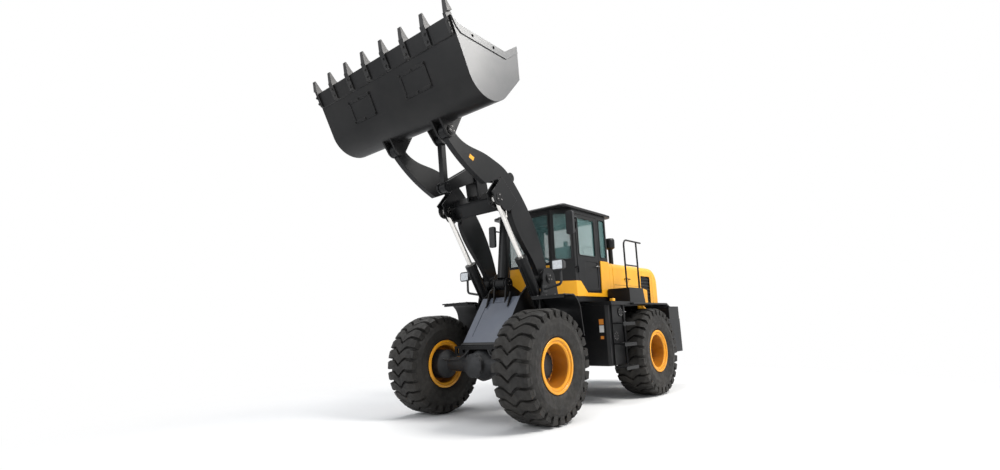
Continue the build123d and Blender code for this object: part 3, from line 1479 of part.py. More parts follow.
# Mirrors on bent arms from the front pillars, then the beacon and the rear work lamps
mirror_x = cab_half_width + 90
mirror_y = pivot_y - 335.0
mirror_arm_z = 3130.0
with BuildPart() as mirrors:
    for side in (1, -1):
        root_y = pivot_y + cab_chamfer[1] + 30
        with BuildLine() as mirror_arm:
            FilletPolyline(
                (side * cab_half_width, root_y, mirror_arm_z),
                (side * mirror_x, root_y, mirror_arm_z),
                (side * mirror_x, mirror_y + 20, mirror_arm_z),
                radius=60,
            )
        with BuildSketch(Plane(origin=mirror_arm.line @ 0, z_dir=mirror_arm.line % 0)) as tube:
            Circle(14)
        sweep(tube.sketch, path=mirror_arm.line)
        with BuildSketch(Plane.XZ.offset(-mirror_y - 30)) as mirror_shell:
            with Locations((side * mirror_x, 3010)):
                RectangleRounded(140, 400, 35)
        extrude(mirror_shell.sketch, amount=55)
save(mirrors.part, "mirrors")
roof_top_z = cab_top_z + roof_thickness
with BuildPart() as roof_lamps:
    round_z(420, pivot_y + 250, 46, roof_top_z, roof_top_z + 25)
    round_z(420, pivot_y + 250, 38, roof_top_z + 25, roof_top_z + 105)
    for side in (1, -1):
        low, high = spans(side, 540, 680)
        block(low, high, pivot_y + 1130, pivot_y + 1200, cab_top_z - 115, cab_top_z - 25)
        low, high = spans(side, 600, 620)
        block(low, high, pivot_y + 1150, pivot_y + 1180, cab_top_z - 30, cab_top_z)
save(roof_lamps.part, "roof_lamps")
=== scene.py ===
import json
import math

import bmesh
import bpy
from mathutils import Matrix, Vector

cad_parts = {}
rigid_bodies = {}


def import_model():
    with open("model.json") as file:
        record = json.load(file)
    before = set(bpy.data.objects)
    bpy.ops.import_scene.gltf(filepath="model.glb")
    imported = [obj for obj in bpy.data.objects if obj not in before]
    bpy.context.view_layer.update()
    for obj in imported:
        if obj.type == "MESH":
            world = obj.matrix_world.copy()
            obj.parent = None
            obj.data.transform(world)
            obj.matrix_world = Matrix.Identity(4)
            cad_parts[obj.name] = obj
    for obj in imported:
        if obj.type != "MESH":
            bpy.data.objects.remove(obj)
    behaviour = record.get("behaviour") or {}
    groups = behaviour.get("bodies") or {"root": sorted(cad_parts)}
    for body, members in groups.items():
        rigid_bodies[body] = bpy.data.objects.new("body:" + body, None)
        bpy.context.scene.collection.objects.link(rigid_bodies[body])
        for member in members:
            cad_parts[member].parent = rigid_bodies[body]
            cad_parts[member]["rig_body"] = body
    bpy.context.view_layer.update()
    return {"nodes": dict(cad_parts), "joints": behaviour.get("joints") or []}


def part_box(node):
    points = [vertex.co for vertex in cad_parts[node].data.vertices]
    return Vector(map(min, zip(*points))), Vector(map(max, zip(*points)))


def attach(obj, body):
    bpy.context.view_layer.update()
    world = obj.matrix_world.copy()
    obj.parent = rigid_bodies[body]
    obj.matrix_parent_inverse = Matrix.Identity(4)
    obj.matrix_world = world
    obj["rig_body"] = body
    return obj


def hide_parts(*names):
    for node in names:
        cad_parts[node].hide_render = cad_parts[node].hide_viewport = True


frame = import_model()

# A wheel loader with its boom raised. Metres: +X is the machine's left, -Y is forward, +Z is up.
joints = {joint["name"]: joint for joint in frame["joints"]}


def pin(joint_name):
    """The centre of a joint's pin, in the middle of the machine."""
    return Vector(joints[joint_name]["pos_m"])


def half_size(node, axis):
    """Half of a CAD node's size along an axis."""
    low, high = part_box(node)
    return (high[axis] - low[axis]) / 2


pivot = pin("articulation")
boom_pin = pin("boom_lift")
bucket_pin = pin("bucket_tilt")
wheel_centres = {
    corner: pin(f"wheel_spin_{corner}") for corner in ("front_left", "front_right", "rear_left", "rear_right")
}
front_y = wheel_centres["front_left"].y
tyre_radius = wheel_centres["front_left"].z
boom_line = bucket_pin - boom_pin
boom_angle = math.atan2(boom_line.z, -boom_line.y)


def boom_at(along, out, x=0.0):
    """A point of the boom: along it from the frame pin, and out square to it."""
    return Vector((
        x,
        boom_pin.y - along * math.cos(boom_angle) + out * math.sin(boom_angle),
        boom_pin.z + along * math.sin(boom_angle) + out * math.cos(boom_angle),
    ))


lip_spot = (0.800, 0.970)
lip_way = (0.43616, 0.89987)


def lip_at(along, out, x=0.0):
    """A point past the bucket's lip, and out from the shell's outer face."""
    ahead_by = lip_spot[0] + along * lip_way[0] + out * lip_way[1]
    above_by = lip_spot[1] + along * lip_way[1] - out * lip_way[0]
    return Vector((x, bucket_pin.y - ahead_by, bucket_pin.z + above_by))


def behind(distance, height, x=0.0):
    """A point this far behind the articulation pivot."""
    return Vector((x, pivot.y + distance, height))


def both_sides(low, high):
    """A box's two corners on the left side, and those of the same box on the right."""
    return [(low, high), ((-high[0], *low[1:]), (-low[0], *high[1:]))]


# Node helpers
def feed(tree, node, inputs):
    """Fills a node's inputs: a socket is linked, and anything else is set as the value."""
    for label, value in inputs.items():
        if isinstance(value, bpy.types.NodeSocket):
            tree.links.new(value, node.inputs[label])
        else:
            node.inputs[label].default_value = value
    return node


def add(tree, kind, inputs):
    return feed(tree, tree.nodes.new(kind), inputs)


def math_node(tree, operation, *values, clamp=False):
    """A Math node whose inputs are sockets or plain numbers."""
    node = add(tree, "ShaderNodeMath", dict(enumerate(values)))
    node.operation = operation
    node.use_clamp = clamp
    return node.outputs[0]


def object_place(tree):
    return tree.nodes.new("ShaderNodeTexCoord").outputs["Object"]


def noise(tree, scale, detail=3.0, roughness=0.55):
    """A Noise texture on object coordinates."""
    inputs = {"Vector": object_place(tree), "Scale": scale, "Detail": detail, "Roughness": roughness}
    return add(tree, "ShaderNodeTexNoise", inputs).outputs["Fac"]


def wave(tree, scale, direction="X"):
    """A Wave texture on object coordinates."""
    node = add(tree, "ShaderNodeTexWave", {"Vector": object_place(tree), "Scale": scale})
    node.bands_direction = direction
    return node.outputs["Fac"]


def ramp(tree, value, low, high):
    """Maps a value from low..high to 0..1, smoothly."""
    node = tree.nodes.new("ShaderNodeMapRange")
    node.interpolation_type = "SMOOTHSTEP"
    return feed(tree, node, {"Value": value, "From Min": low, "From Max": high}).outputs["Result"]


def cloud(tree, scale, detail, roughness, low=0.3, high=0.7):
    """Noise stretched to the whole range from 0 to 1."""
    return ramp(tree, noise(tree, scale, detail, roughness), low, high)


def blend_colour(tree, factor, first, second):
    """Mixes two colours, given as sockets or as (r, g, b)."""
    node = tree.nodes.new("ShaderNodeMix")
    node.data_type = "RGBA"
    first, second = ((*value, 1.0) if isinstance(value, tuple) else value for value in (first, second))
    return feed(tree, node, {0: factor, 6: first, 7: second}).outputs[2]


def blend_value(tree, factor, first, second):
    """Mixes two numbers by a mask."""
    return add(tree, "ShaderNodeMix", {0: factor, 2: first, 3: second}).outputs[0]


def darker(colour, share):
    return tuple(channel * share for channel in colour)


# Shader groups: each puts out a mask or a height that changes over the surface
def new_group(name, inputs, output):
    """A group, its input sockets inside, and the place where its result goes."""
    group = bpy.data.node_groups.new(name, "ShaderNodeTree")
    for label, default in inputs.items():
        group.interface.new_socket(label, in_out="INPUT", socket_type="NodeSocketFloat").default_value = default
    group.interface.new_socket(output, in_out="OUTPUT", socket_type="NodeSocketFloat")
    return group, group.nodes.new("NodeGroupInput").outputs, group.nodes.new("NodeGroupOutput").inputs[output]


def make_dust_group():
    """Dust that settles low on the machine and lies in cloudy patches."""
    group, given, mask = new_group("road_dust", {"Top": 1.2, "Amount": 0.5}, "Mask")
    height = add(group, "ShaderNodeSeparateXYZ", {0: object_place(group)}).outputs["Z"]
    spread = math_node(group, "MULTIPLY_ADD", ramp(group, height, given["Top"], 0.05), 0.75, 0.25)
    speck = math_node(group, "MULTIPLY", cloud(group, 38.0, 4.0, 0.7, 0.45, 0.75), 0.3)
    patch = math_node(group, "MULTIPLY_ADD", cloud(group, 2.6, 6.0, 0.65, 0.38, 0.72), 0.7, speck)
    dusty = math_node(group, "MULTIPLY", math_node(group, "MULTIPLY", spread, patch), given["Amount"], clamp=True)
    group.links.new(dusty, mask)
    return group


def make_wear_group():
    """Rubbed edges: where a rounded normal leaves the true one, broken up by noise."""
    group, given, mask = new_group("edge_wear", {"Width": 0.006, "Amount": 0.5}, "Mask")
    rounded = add(group, "ShaderNodeBevel", {"Radius": given["Width"]})
    rounded.samples = 4
    true_normal = group.nodes.new("ShaderNodeNewGeometry").outputs["Normal"]
    dot = group.nodes.new("ShaderNodeVectorMath")
    dot.operation = "DOT_PRODUCT"
    feed(group, dot, {0: rounded.outputs["Normal"], 1: true_normal})
    edge = ramp(group, dot.outputs["Value"], 0.985, 0.86)
    broken = math_node(group, "MULTIPLY", edge, cloud(group, 24.0, 5.0, 0.7, 0.5, 0.62))
    group.links.new(math_node(group, "MULTIPLY", broken, given["Amount"], clamp=True), mask)
    return group


def make_grain_group():
    """The height of sprayed paint or moulded plastic: a fine ripple on a broad one."""
    group, given, height = new_group("surface_grain", {"Scale": 300.0, "Broad": 0.3}, "Height")
    fine = noise(group, given["Scale"], 2.0, 0.5)
    group.links.new(math_node(group, "MULTIPLY_ADD", noise(group, 7.0, 2.0, 0.5), given["Broad"], fine), height)
    return group


dust_group = make_dust_group()
wear_group = make_wear_group()
grain_group = make_grain_group()


def place_group(tree, group, **values):
    node = tree.nodes.new("ShaderNodeGroup")
    node.node_tree = group
    return feed(tree, node, values).outputs[0]


# Materials
def new_material(name):
    material = bpy.data.materials.new(name)
    material.use_nodes = True
    return material, material.node_tree, material.node_tree.nodes["Principled BSDF"]


def raise_surface(tree, shader, height, strength, distance, normal=None):
    """Bumps a shader's normal by a height."""
    inputs = {"Height": height, "Strength": strength, "Distance": distance}
    if normal is not None:
        inputs["Normal"] = normal
    feed(tree, shader, {"Normal": add(tree, "ShaderNodeBump", inputs).outputs["Normal"]})


dust_colour = (0.23, 0.19, 0.145)
bare_metal = (0.23, 0.22, 0.21)


def paint(name, colour, shade, rough, wear, dust, coat=0.0, dust_top=1.2, bare=bare_metal, gleam=0.3):
    """Sprayed paint: cloudy shade, rubbed edges, dust below, a fine ripple and a clear coat."""
    material, tree, shader = new_material(name)
    dusty = place_group(tree, dust_group, Top=dust_top, Amount=dust)
    base = blend_colour(tree, cloud(tree, 1.7, 4.0, 0.6), colour, shade)
    base = blend_colour(tree, place_group(tree, wear_group, Amount=wear), base, bare)
    feed(tree, shader, {
        "Base Color": blend_colour(tree, dusty, base, dust_colour),
        "Roughness": blend_value(tree, dusty, rough, 0.85),
        "Specular IOR Level": gleam, "Coat Weight": coat, "Coat Roughness": 0.12,
    })
    edge = add(tree, "ShaderNodeBevel", {"Radius": 0.004})
    edge.samples = 4
    raise_surface(tree, shader, place_group(tree, grain_group, Scale=320.0), 0.12, 0.0012, edge.outputs["Normal"])
    return material


def plain(name, colour, rough, metal=0.0, grain=200.0, strength=0.15, shade=0.75):
    """Plastic, rubber or metal: two close tones, a varied roughness and a fine bump."""
    material, tree, shader = new_material(name)
    feed(tree, shader, {
        "Base Color": blend_colour(tree, cloud(tree, 9.0, 4.0, 0.6, 0.35, 0.65), colour, darker(colour, shade)),
        "Roughness": blend_value(tree, cloud(tree, 30.0, 3.0, 0.6), rough, min(1.0, rough + 0.14)),
        "Metallic": metal,
    })
    raise_surface(tree, shader, place_group(tree, grain_group, Scale=grain), strength, 0.001)
    return material


def tinted_glass(name, colour):
    """Thin window glass that lets light straight through, with a tint."""
    material, tree, shader = new_material(name)
    tint = blend_colour(tree, cloud(tree, 3.0, 5.0, 0.6, 0.3, 0.8), colour, darker(colour, 0.86))
    feed(tree, shader, {"Base Color": tint, "Roughness": 0.02, "IOR": 1.45, "Alpha": 0.34})
    return material


def lens(name, colour):
    """A moulded lamp lens with fine flutes."""
    material, tree, shader = new_material(name)
    tone = blend_colour(tree, cloud(tree, 60.0, 2.0, 0.5), colour, darker(colour, 0.8))
    feed(tree, shader, {"Base Color": tone, "Roughness": 0.08, "Coat Weight": 1.0})
    raise_surface(tree, shader, wave(tree, 28.0), 0.35, 0.002)
    return material


def tyre_rubber_material():
    """Tyre rubber: brownish black, drier and dustier low down."""
    material, tree, shader = new_material("tyre_rubber")
    mottled = cloud(tree, 3.0, 6.0, 0.7, 0.35, 0.7)
    base = blend_colour(tree, mottled, (0.0085, 0.0080, 0.0075), (0.0190, 0.0175, 0.0155))
    dusty = place_group(tree, dust_group, Top=1.5, Amount=0.30)
    feed(tree, shader, {
        "Base Color": blend_colour(tree, dusty, base, (0.075, 0.066, 0.055)),
        "Specular IOR Level": 0.35,
        "Roughness": blend_value(tree, cloud(tree, 14.0, 3.0, 0.55), 0.55, 0.82),
    })
    raise_surface(tree, shader, place_group(tree, grain_group, Scale=150.0, Broad=0.8), 0.35, 0.002)
    return material


def woven_material(name, colour):
    """Coarse seat cloth: two crossed waves for the threads and soft sheen."""
    material, tree, shader = new_material(name)
    weave = math_node(tree, "MAXIMUM", wave(tree, 120.0, "X"), wave(tree, 120.0, "Z"))
    feed(tree, shader, {
        "Base Color": blend_colour(tree, weave, darker(colour, 0.55), colour),
        "Roughness": 0.92, "Sheen Weight": 0.3,
    })
    raise_surface(tree, shader, weave, 0.4, 0.0015)
    return material


mat = {
    "yellow": paint("yellow_paint", (0.84, 0.40, 0.012), (0.76, 0.34, 0.010), 0.36, 0.25, 0.12, 0.18),
    "rim": paint("rim_paint", (0.84, 0.37, 0.012), (0.74, 0.30, 0.010), 0.42, 0.4, 0.20, 0.12, 1.6),
    # The barrel's darker orange is painted shade: the rim's yellow as it looks in the shaded hollow inside the rim.
    "barrel": paint("rim_barrel_painted_shade", (0.44, 0.150, 0.003), (0.36, 0.115, 0.003), 0.5, 0.3, 0.25, dust_top=1.6),
    "black": paint("black_paint", (0.0060, 0.0064, 0.0072), (0.0100, 0.0104, 0.0112), 0.36, 0.20, 0.05, 0.04,
                   gleam=0.2),
    "boom": paint("boom_paint", (0.0056, 0.0060, 0.0068), (0.0090, 0.0094, 0.0102), 0.34, 0.22, 0.03, 0.05,
                  gleam=0.18),
    "bucket": paint("bucket_paint", (0.0080, 0.0080, 0.0084), (0.0130, 0.0128, 0.0130), 0.38, 0.35, 0.05, 0.04,
                    gleam=0.2),
    # The bucket side plates' lighter grey is painted reflection: the light the flat side plates catch, put into their
    # colour.
    "bucket_side": paint("bucket_side_paint", (0.050, 0.053, 0.057), (0.070, 0.072, 0.076), 0.36, 0.45, 0.06, 0.1),
    "tooth": paint("tooth_steel", (0.0120, 0.0120, 0.0126), (0.0240, 0.0230, 0.0225), 0.40, 0.8, 0.08,
                   bare=(0.32, 0.31, 0.30)),
    "grey": paint("grey_paint", (0.098, 0.112, 0.145), (0.120, 0.134, 0.165), 0.36, 0.4, 0.22, 0.3),
    "cast": plain("cast_iron", (0.022, 0.023, 0.025), 0.5, 0.3, 120.0, 0.4),
    "steel": plain("worn_steel", (0.32, 0.31, 0.30), 0.35, 1.0, 160.0, 0.25),
    "chrome": plain("chrome_rod", (0.78, 0.76, 0.73), 0.14, 1.0, 400.0, 0.03, 0.93),
    "tyre": tyre_rubber_material(),
    "rubber": plain("seal_rubber", (0.012, 0.012, 0.013), 0.75, grain=260.0),
    "hose": plain("hose_rubber", (0.015, 0.015, 0.016), 0.5, grain=500.0, strength=0.3),
    "plastic": plain("black_plastic", (0.016, 0.017, 0.019), 0.5, grain=700.0, strength=0.3),
    "trim": plain("cab_trim", (0.050, 0.052, 0.056), 0.65, grain=600.0, strength=0.3),
    "glass": tinted_glass("cab_glass", (0.12, 0.24, 0.235)),
    "clear": lens("clear_lens", (0.72, 0.75, 0.78)),
    "amber": lens("amber_lens", (0.85, 0.36, 0.01)),
    "red": lens("red_lens", (0.45, 0.01, 0.01)),
    "mirror": plain("mirror_glass", (0.85, 0.87, 0.88), 0.03, 1.0, 50.0, 0.0, 0.97),
    "cloth": woven_material("seat_cloth", (0.055, 0.057, 0.062)),
    "white_label": plain("white_plate", (0.72, 0.72, 0.70), 0.45, grain=300.0, shade=0.93),
    "orange_label": plain("orange_plate", (0.78, 0.27, 0.03), 0.45, grain=300.0, shade=0.9),
}
# The record slot of every finish that comes first on a piece
slot_materials = {
    "yellow_paint": ("yellow", "rim", "orange_label"), "black_paint": ("black", "boom", "bucket"),
    "dark_steel": ("tooth", "cast", "steel"), "black_plastic": ("rubber", "hose", "plastic", "trim"),
    "glass": ("glass", "mirror"), "lamp_plastic": ("clear", "amber", "red", "white_label"),
    "tyre_rubber": ("tyre",), "seat_fabric": ("cloth",),
}
slot_of = {mat[key].name: slot for slot, keys in slot_materials.items() for key in keys}


# Mesh helpers
def link(obj):
    bpy.context.scene.collection.objects.link(obj)
    return obj


def object_from(name, builder, materials):
    """A mesh object at the origin, from a filled bmesh."""
    mesh = bpy.data.meshes.new(name)
    builder.normal_update()
    builder.to_mesh(mesh)
    builder.free()
    for material in materials:
        mesh.materials.append(material)
    return link(bpy.data.objects.new(name, mesh))


def turn_out(builder):
    bmesh.ops.recalc_face_normals(builder, faces=builder.faces)


def outward(builder):
    """Merges doubles and turns every face outwards."""
    bmesh.ops.remove_doubles(builder, verts=builder.verts, dist=1e-5)
    turn_out(builder)


def smooth_by_angle(mesh, degrees, turned_out=True):
    """Smooth shading with edges kept sharp above an angle, and faces turned outwards if they aren't yet."""
    limit = math.radians(degrees)
    builder = bmesh.new()
    builder.from_mesh(mesh)
    if not turned_out:
        turn_out(builder)
    for face in builder.faces:
        face.smooth = True
    for edge in builder.edges:
        edge.smooth = len(edge.link_faces) == 2 and edge.calc_face_angle(0) < limit
    builder.to_mesh(mesh)
    builder.free()


def smooth_shell(name, builder, materials, degrees=35):
    """An object with its faces turned outwards and smooth shading up to an angle."""
    outward(builder)
    shell = object_from(name, builder, materials)
    smooth_by_angle(shell.data, degrees)
    return shell


def apply_modifiers(obj):
    """Replaces an object's mesh by its evaluated one."""
    bpy.context.view_layer.update()
    depsgraph = bpy.context.evaluated_depsgraph_get()
    evaluated = obj.evaluated_get(depsgraph)
    mesh = bpy.data.meshes.new_from_object(evaluated, preserve_all_data_layers=True, depsgraph=depsgraph)
    obj.modifiers.clear()
    obj.data = mesh
    return obj


def bevelled(obj, width, segments=2):
    """Rounds an object's sharp edges and shades it, with its flat faces kept flat."""
    sharp_angle = 32
    modifier = obj.modifiers.new("edges", "BEVEL")
    modifier.width = width
    modifier.segments = segments
    modifier.limit_method = "ANGLE"
    modifier.angle_limit = math.radians(sharp_angle)
    modifier.use_clamp_overlap = True
    modifier.harden_normals = True
    smooth_by_angle(obj.data, sharp_angle)
    weigh = obj.modifiers.new("flat_faces", "WEIGHTED_NORMAL")
    weigh.keep_sharp = True
    weigh.weight = 80
    return apply_modifiers(obj)


def ride(obj, body, slot=None):
    """Fixes a piece to a body. The slot, from its first material when no other is given, is worked out but not used."""
    slot = slot or slot_of[obj.data.materials[0].name]
    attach(obj, body)
    return obj


def soften(node, materials, width, pick=None, slot=None):
    """Stands a copy of a CAD node, with rounded edges, in the node's place. pick sorts faces to materials."""
    builder = bmesh.new()
    builder.from_mesh(frame["nodes"][node].data)
    bmesh.ops.remove_doubles(builder, verts=builder.verts, dist=1e-5)
    bmesh.ops.dissolve_limit(builder, angle_limit=math.radians(1.0), verts=builder.verts, edges=builder.edges)
    for face in builder.faces:
        face.material_index = pick(face.calc_center_median(), face.normal) if pick else 0
    piece = bevelled(object_from(f"{node}_finish", builder, materials), width)
    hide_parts(node)
    return ride(piece, frame["nodes"][node]["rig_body"], slot)


def loft(builder, outlines, closed=False):
    """Skins matching outlines one after the other, and caps the two ends or joins them round."""
    loops = [[builder.verts.new(point) for point in outline] for outline in outlines]
    for first, second in zip(loops, loops[1:] + loops[:1] if closed else loops[1:]):
        for index in range(len(first)):
            after = (index + 1) % len(first)
            builder.faces.new((first[index], first[after], second[after], second[index]))
    if not closed:
        builder.faces.new(loops[0])
        builder.faces.new(loops[-1])


def turned(builder, profile, centre, axis="X", steps=64, closed=True):
    """Adds a surface of revolution: profile is (along, radius) pairs round a line through centre."""
    rings = []
    for along, radius in profile:
        ring = []
        for step in range(steps):
            angle = 2 * math.pi * step / steps
            near, far = radius * math.cos(angle), radius * math.sin(angle)
            spot = {"X": (along, near, far), "Y": (far, along, near), "Z": (near, far, along)}[axis]
            ring.append(Vector(centre) + Vector(spot))
        rings.append(ring)
    loft(builder, rings, closed)


def turned_shell(name, profile, centre, material, degrees=35, **options):
    """A turned piece of one finish, shaded smooth up to an angle."""
    builder = bmesh.new()
    turned(builder, profile, centre, **options)
    return smooth_shell(name, builder, [mat[material]], degrees)


def boxes(name, corners, material, body, bevel=0.004, segments=2):
    """Several rounded boxes as one piece, each given by two corners."""
    builder = bmesh.new()
    for low, high in corners:
        low, high = Vector(low), Vector(high)
        place = Matrix.Translation((low + high) / 2) @ Matrix.Diagonal((*(high - low), 1.0))
        bmesh.ops.create_cube(builder, size=1.0, matrix=place)
    turn_out(builder)
    return ride(bevelled(object_from(name, builder, [mat[material]]), bevel, segments), body)


# Node trees that repeat a part round an axis or along a line, and that draw pipes along a path
def tree_with(name, **sockets):
    """A modifier's node tree with named inputs."""
    tree = bpy.data.node_groups.new(name, "GeometryNodeTree")
    tree.is_modifier = True
    for label, kind in {"Geometry": "Geometry", **sockets, "Material": "Material"}.items():
        tree.interface.new_socket(label, in_out="INPUT", socket_type=f"NodeSocket{kind}")
    tree.interface.new_socket("Geometry", in_out="OUTPUT", socket_type="NodeSocketGeometry")
    return tree, tree.nodes.new("NodeGroupInput").outputs


def finish_tree(tree, given, geometry):
    """Realizes the instances, sets the material and joins the output."""
    real = add(tree, "GeometryNodeRealizeInstances", {0: geometry}).outputs[0]
    painted = add(tree, "GeometryNodeSetMaterial", {"Geometry": real, "Material": given["Material"]}).outputs[0]
    add(tree, "NodeGroupOutput", {0: painted})
    return tree


def copies_of_part(tree, given, points):
    """The node that puts the part on every point."""
    part = add(tree, "GeometryNodeObjectInfo", {"Object": given["Part"]}).outputs["Geometry"]
    return add(tree, "GeometryNodeInstanceOnPoints", {"Points": points, "Instance": part})


def make_ring_tree():
    """Copies of a part, turned about an axis through a centre."""
    tree, given = tree_with("ring_of_parts", Part="Object", Centre="Vector", Axis="Vector", Count="Int")
    line = add(tree, "GeometryNodeMeshLine", {"Count": given["Count"], "Offset": (0, 0, 0)}).outputs[0]
    points = add(tree, "GeometryNodeSetPosition", {"Geometry": line, "Position": given["Centre"]}).outputs[0]
    share = math_node(tree, "DIVIDE", tree.nodes.new("GeometryNodeInputIndex").outputs[0], given["Count"])
    turn = tree.nodes.new("ShaderNodeVectorMath")
    turn.operation = "SCALE"
    feed(tree, turn, {0: given["Axis"], "Scale": math_node(tree, "MULTIPLY", share, 2 * math.pi)})
    copies = copies_of_part(tree, given, points)
    feed(tree, copies, {"Rotation": turn.outputs[0]})
    return finish_tree(tree, given, copies.outputs[0])


def make_row_tree():
    """Copies of a part at even steps along a line."""
    tree, given = tree_with("row_of_parts", Part="Object", Start="Vector", Step="Vector", Count="Int")
    inputs = {"Count": given["Count"], "Start Location": given["Start"], "Offset": given["Step"]}
    line = add(tree, "GeometryNodeMeshLine", inputs).outputs[0]
    return finish_tree(tree, given, copies_of_part(tree, given, line).outputs[0])


def make_pipe_tree():
    """A round pipe along every line of a drawn path."""
    tree, given = tree_with("pipe_on_path", Radius="Float", Bend="Float")
    curve = add(tree, "GeometryNodeMeshToCurve", {"Mesh": given["Geometry"]}).outputs[0]
    fillet = tree.nodes.new("GeometryNodeFilletCurve")
    fillet.mode = "POLY"
    feed(tree, fillet, {"Curve": curve, "Count": 6, "Radius": given["Bend"], "Limit Radius": True})
    circle = add(tree, "GeometryNodeCurvePrimitiveCircle", {"Resolution": 14, "Radius": given["Radius"]}).outputs[0]
    inputs = {"Curve": fillet.outputs[0], "Profile Curve": circle, "Fill Caps": True}
    return finish_tree(tree, given, add(tree, "GeometryNodeCurveToMesh", inputs).outputs[0])


ring_tree = make_ring_tree()
row_tree = make_row_tree()
pipe_tree = make_pipe_tree()


def run_tree(obj, tree, **values):
    """Runs a node tree on an object and keeps the result as its plain mesh."""
    modifier = obj.modifiers.new(tree.name, "NODES")
    modifier.node_group = tree
    for item in tree.interface.items_tree:
        if item.in_out == "INPUT" and item.name in values:
            modifier[item.identifier] = values[item.name]
    return apply_modifiers(obj)


def repeated(name, tree, part, **values):
    """Repeats a part, which is used up. The first material is left empty."""
    piece = run_tree(link(bpy.data.objects.new(name, bpy.data.meshes.new(name))), tree, Part=part, **values)
    bpy.data.objects.remove(part)
    return piece


def ring_of(name, part, centre, count, material, axis=(1.0, 0.0, 0.0)):
    return repeated(name, ring_tree, part, Centre=tuple(centre), Axis=axis, Count=count, Material=mat[material])


def pipe(name, paths, radius, material, body, bend=0.05, loops=False):
    """Bent pipes, hoses or closed seals through given points. paths is a list of lists of points."""
    builder = bmesh.new()
    for path in paths:
        spots = [builder.verts.new(Vector(point)) for point in path]
        for first, second in zip(spots, spots[1:] + spots[:1] if loops else spots[1:]):
            builder.edges.new((first, second))
    piece = run_tree(object_from(name, builder, []), pipe_tree, Radius=radius, Bend=bend, Material=mat[material])
    smooth_by_angle(piece.data, 50, turned_out=False)
    return ride(piece, body)


def bolt_part(radius, height, axis="X"):
    """A hexagon bolt head on a washer, standing on the origin along an axis."""
    builder = bmesh.new()
    washer = height * 0.25
    turned(builder, [(0, radius * 1.35), (washer, radius * 1.35)], (0, 0, 0), axis, 18, closed=False)
    head = [(washer, radius), (height * 0.9, radius), (height, radius * 0.86)]
    turned(builder, head, (0, 0, 0), axis, 6, closed=False)
    outward(builder)
    return object_from("bolt_part", builder, [])


def placed_bolt(radius, height, place, side=1, axis="X"):
    """A bolt head at a place, facing back along its axis when side is -1."""
    head = bolt_part(radius, height, axis)
    axis_way = [float(letter == axis) for letter in "XYZ"]
    head.data.transform(Matrix.Translation(place) @ Matrix.Scale(side, 4, axis_way))
    if side < 0:
        head.data.flip_normals()
    return head


def joined(name, pieces, body, slot=None):
    """Joins loose pieces into one mesh piece."""
    builder = bmesh.new()
    materials = []
    for piece in pieces:
        start = len(builder.faces)
        for material in piece.data.materials:
            if material not in materials:
                materials.append(material)
        table = [materials.index(material) for material in piece.data.materials] or [0]
        builder.from_mesh(piece.data)
        builder.faces.ensure_lookup_table()
        for face in builder.faces[start:]:
            face.material_index = table[min(face.material_index, len(table) - 1)]
    whole = object_from(name, builder, materials)
    for piece in pieces:
        bpy.data.objects.remove(piece)
    return ride(whole, body, slot)


def placed_bolts(name, spots, normal, material, body, size):
    """Bolt heads at given places, all facing one way."""
    turn = Vector((1, 0, 0)).rotation_difference(Vector(normal)).to_matrix().to_4x4()
    parts = []
    for spot in spots:
        head = bolt_part(size, size)
        head.data.transform(Matrix.Translation(spot) @ turn)
        head.data.materials.append(mat[material])
        parts.append(head)
    return joined(name, parts, body, "dark_steel")


# Wheels
tyre_half = half_size("tyre_front_left", 0)
rim_half = half_size("rim_front_left", 0)
flange_radius = half_size("rim_front_left", 2)
lug_count = 28
lug_share = 0.80
carcass_radius = 0.741
carcass_half = [
    (-0.238, 0.330), (-0.240, 0.384), (-0.262, 0.400), (-0.279, 0.440), (-0.291, 0.500), (-0.295, 0.545),
    (-0.2975, 0.552), (-0.2975, 0.566), (-0.295, 0.573), (-0.293, 0.610), (-0.284, 0.650), (-0.262, 0.690),
    (-0.215, 0.722), (-0.120, 0.737),
]
carcass_profile = carcass_half + [(0, carcass_radius)] + [(-dx, radius) for dx, radius in reversed(carcass_half)]


def lug_wave(share):
    """How far round the tyre a lug's middle lies, as an angle: a valley in the middle and a peak each side."""
    across = abs(share)
    rise = math.sin(min(1.0, across / 0.52) * math.pi / 2) ** 1.3
    fall = max(0.0, across - 0.52) / 0.48
    return math.radians(7.2) * (rise - 0.22 * fall - 0.55)


def lug_section(dx, share, radii, narrow):
    """The outline of a lug at one place across the tyre."""
    half_angle = math.pi / lug_count * lug_share * narrow
    angles = [lug_wave(share) + edge * half_angle for edge in (-1.0, -0.97, -0.90, 0.90, 0.97, 1.0)]
    return [(dx, -radius * math.cos(angle), radius * math.sin(angle)) for angle, radius in zip(angles, radii)]


def lug_part():
    """One tread lug across the whole tyre, with its shoulders run down the sidewalls."""
    steps = 28
    sections = [lug_section(0.009 - tyre_half, 1.0, (0.640,) * 6, 0.66)]
    for step in range(steps + 1):
        share = -1 + 2 * step / steps
        dx = share * (tyre_half - 0.004)
        across = min(1.0, abs(dx) / tyre_half)
        top = tyre_radius - 0.006 * across ** 2 - 0.030 * max(0.0, across - 0.72) / 0.28
        foot = min(top - 0.004, carcass_radius) - 0.012 - 0.05 * max(0.0, abs(share) - 0.8) / 0.2
        narrow = 1.0 - 0.16 * max(0.0, abs(share) - 0.75) / 0.25
        sections.append(lug_section(dx, share, (foot, top - 0.008, top, top, top - 0.008, foot), narrow))
    sections.append(lug_section(tyre_half - 0.009, 1.0, (0.640,) * 6, 0.66))
    builder = bmesh.new()
    loft(builder, sections)
    outward(builder)
    return object_from("lug_part", builder, [])


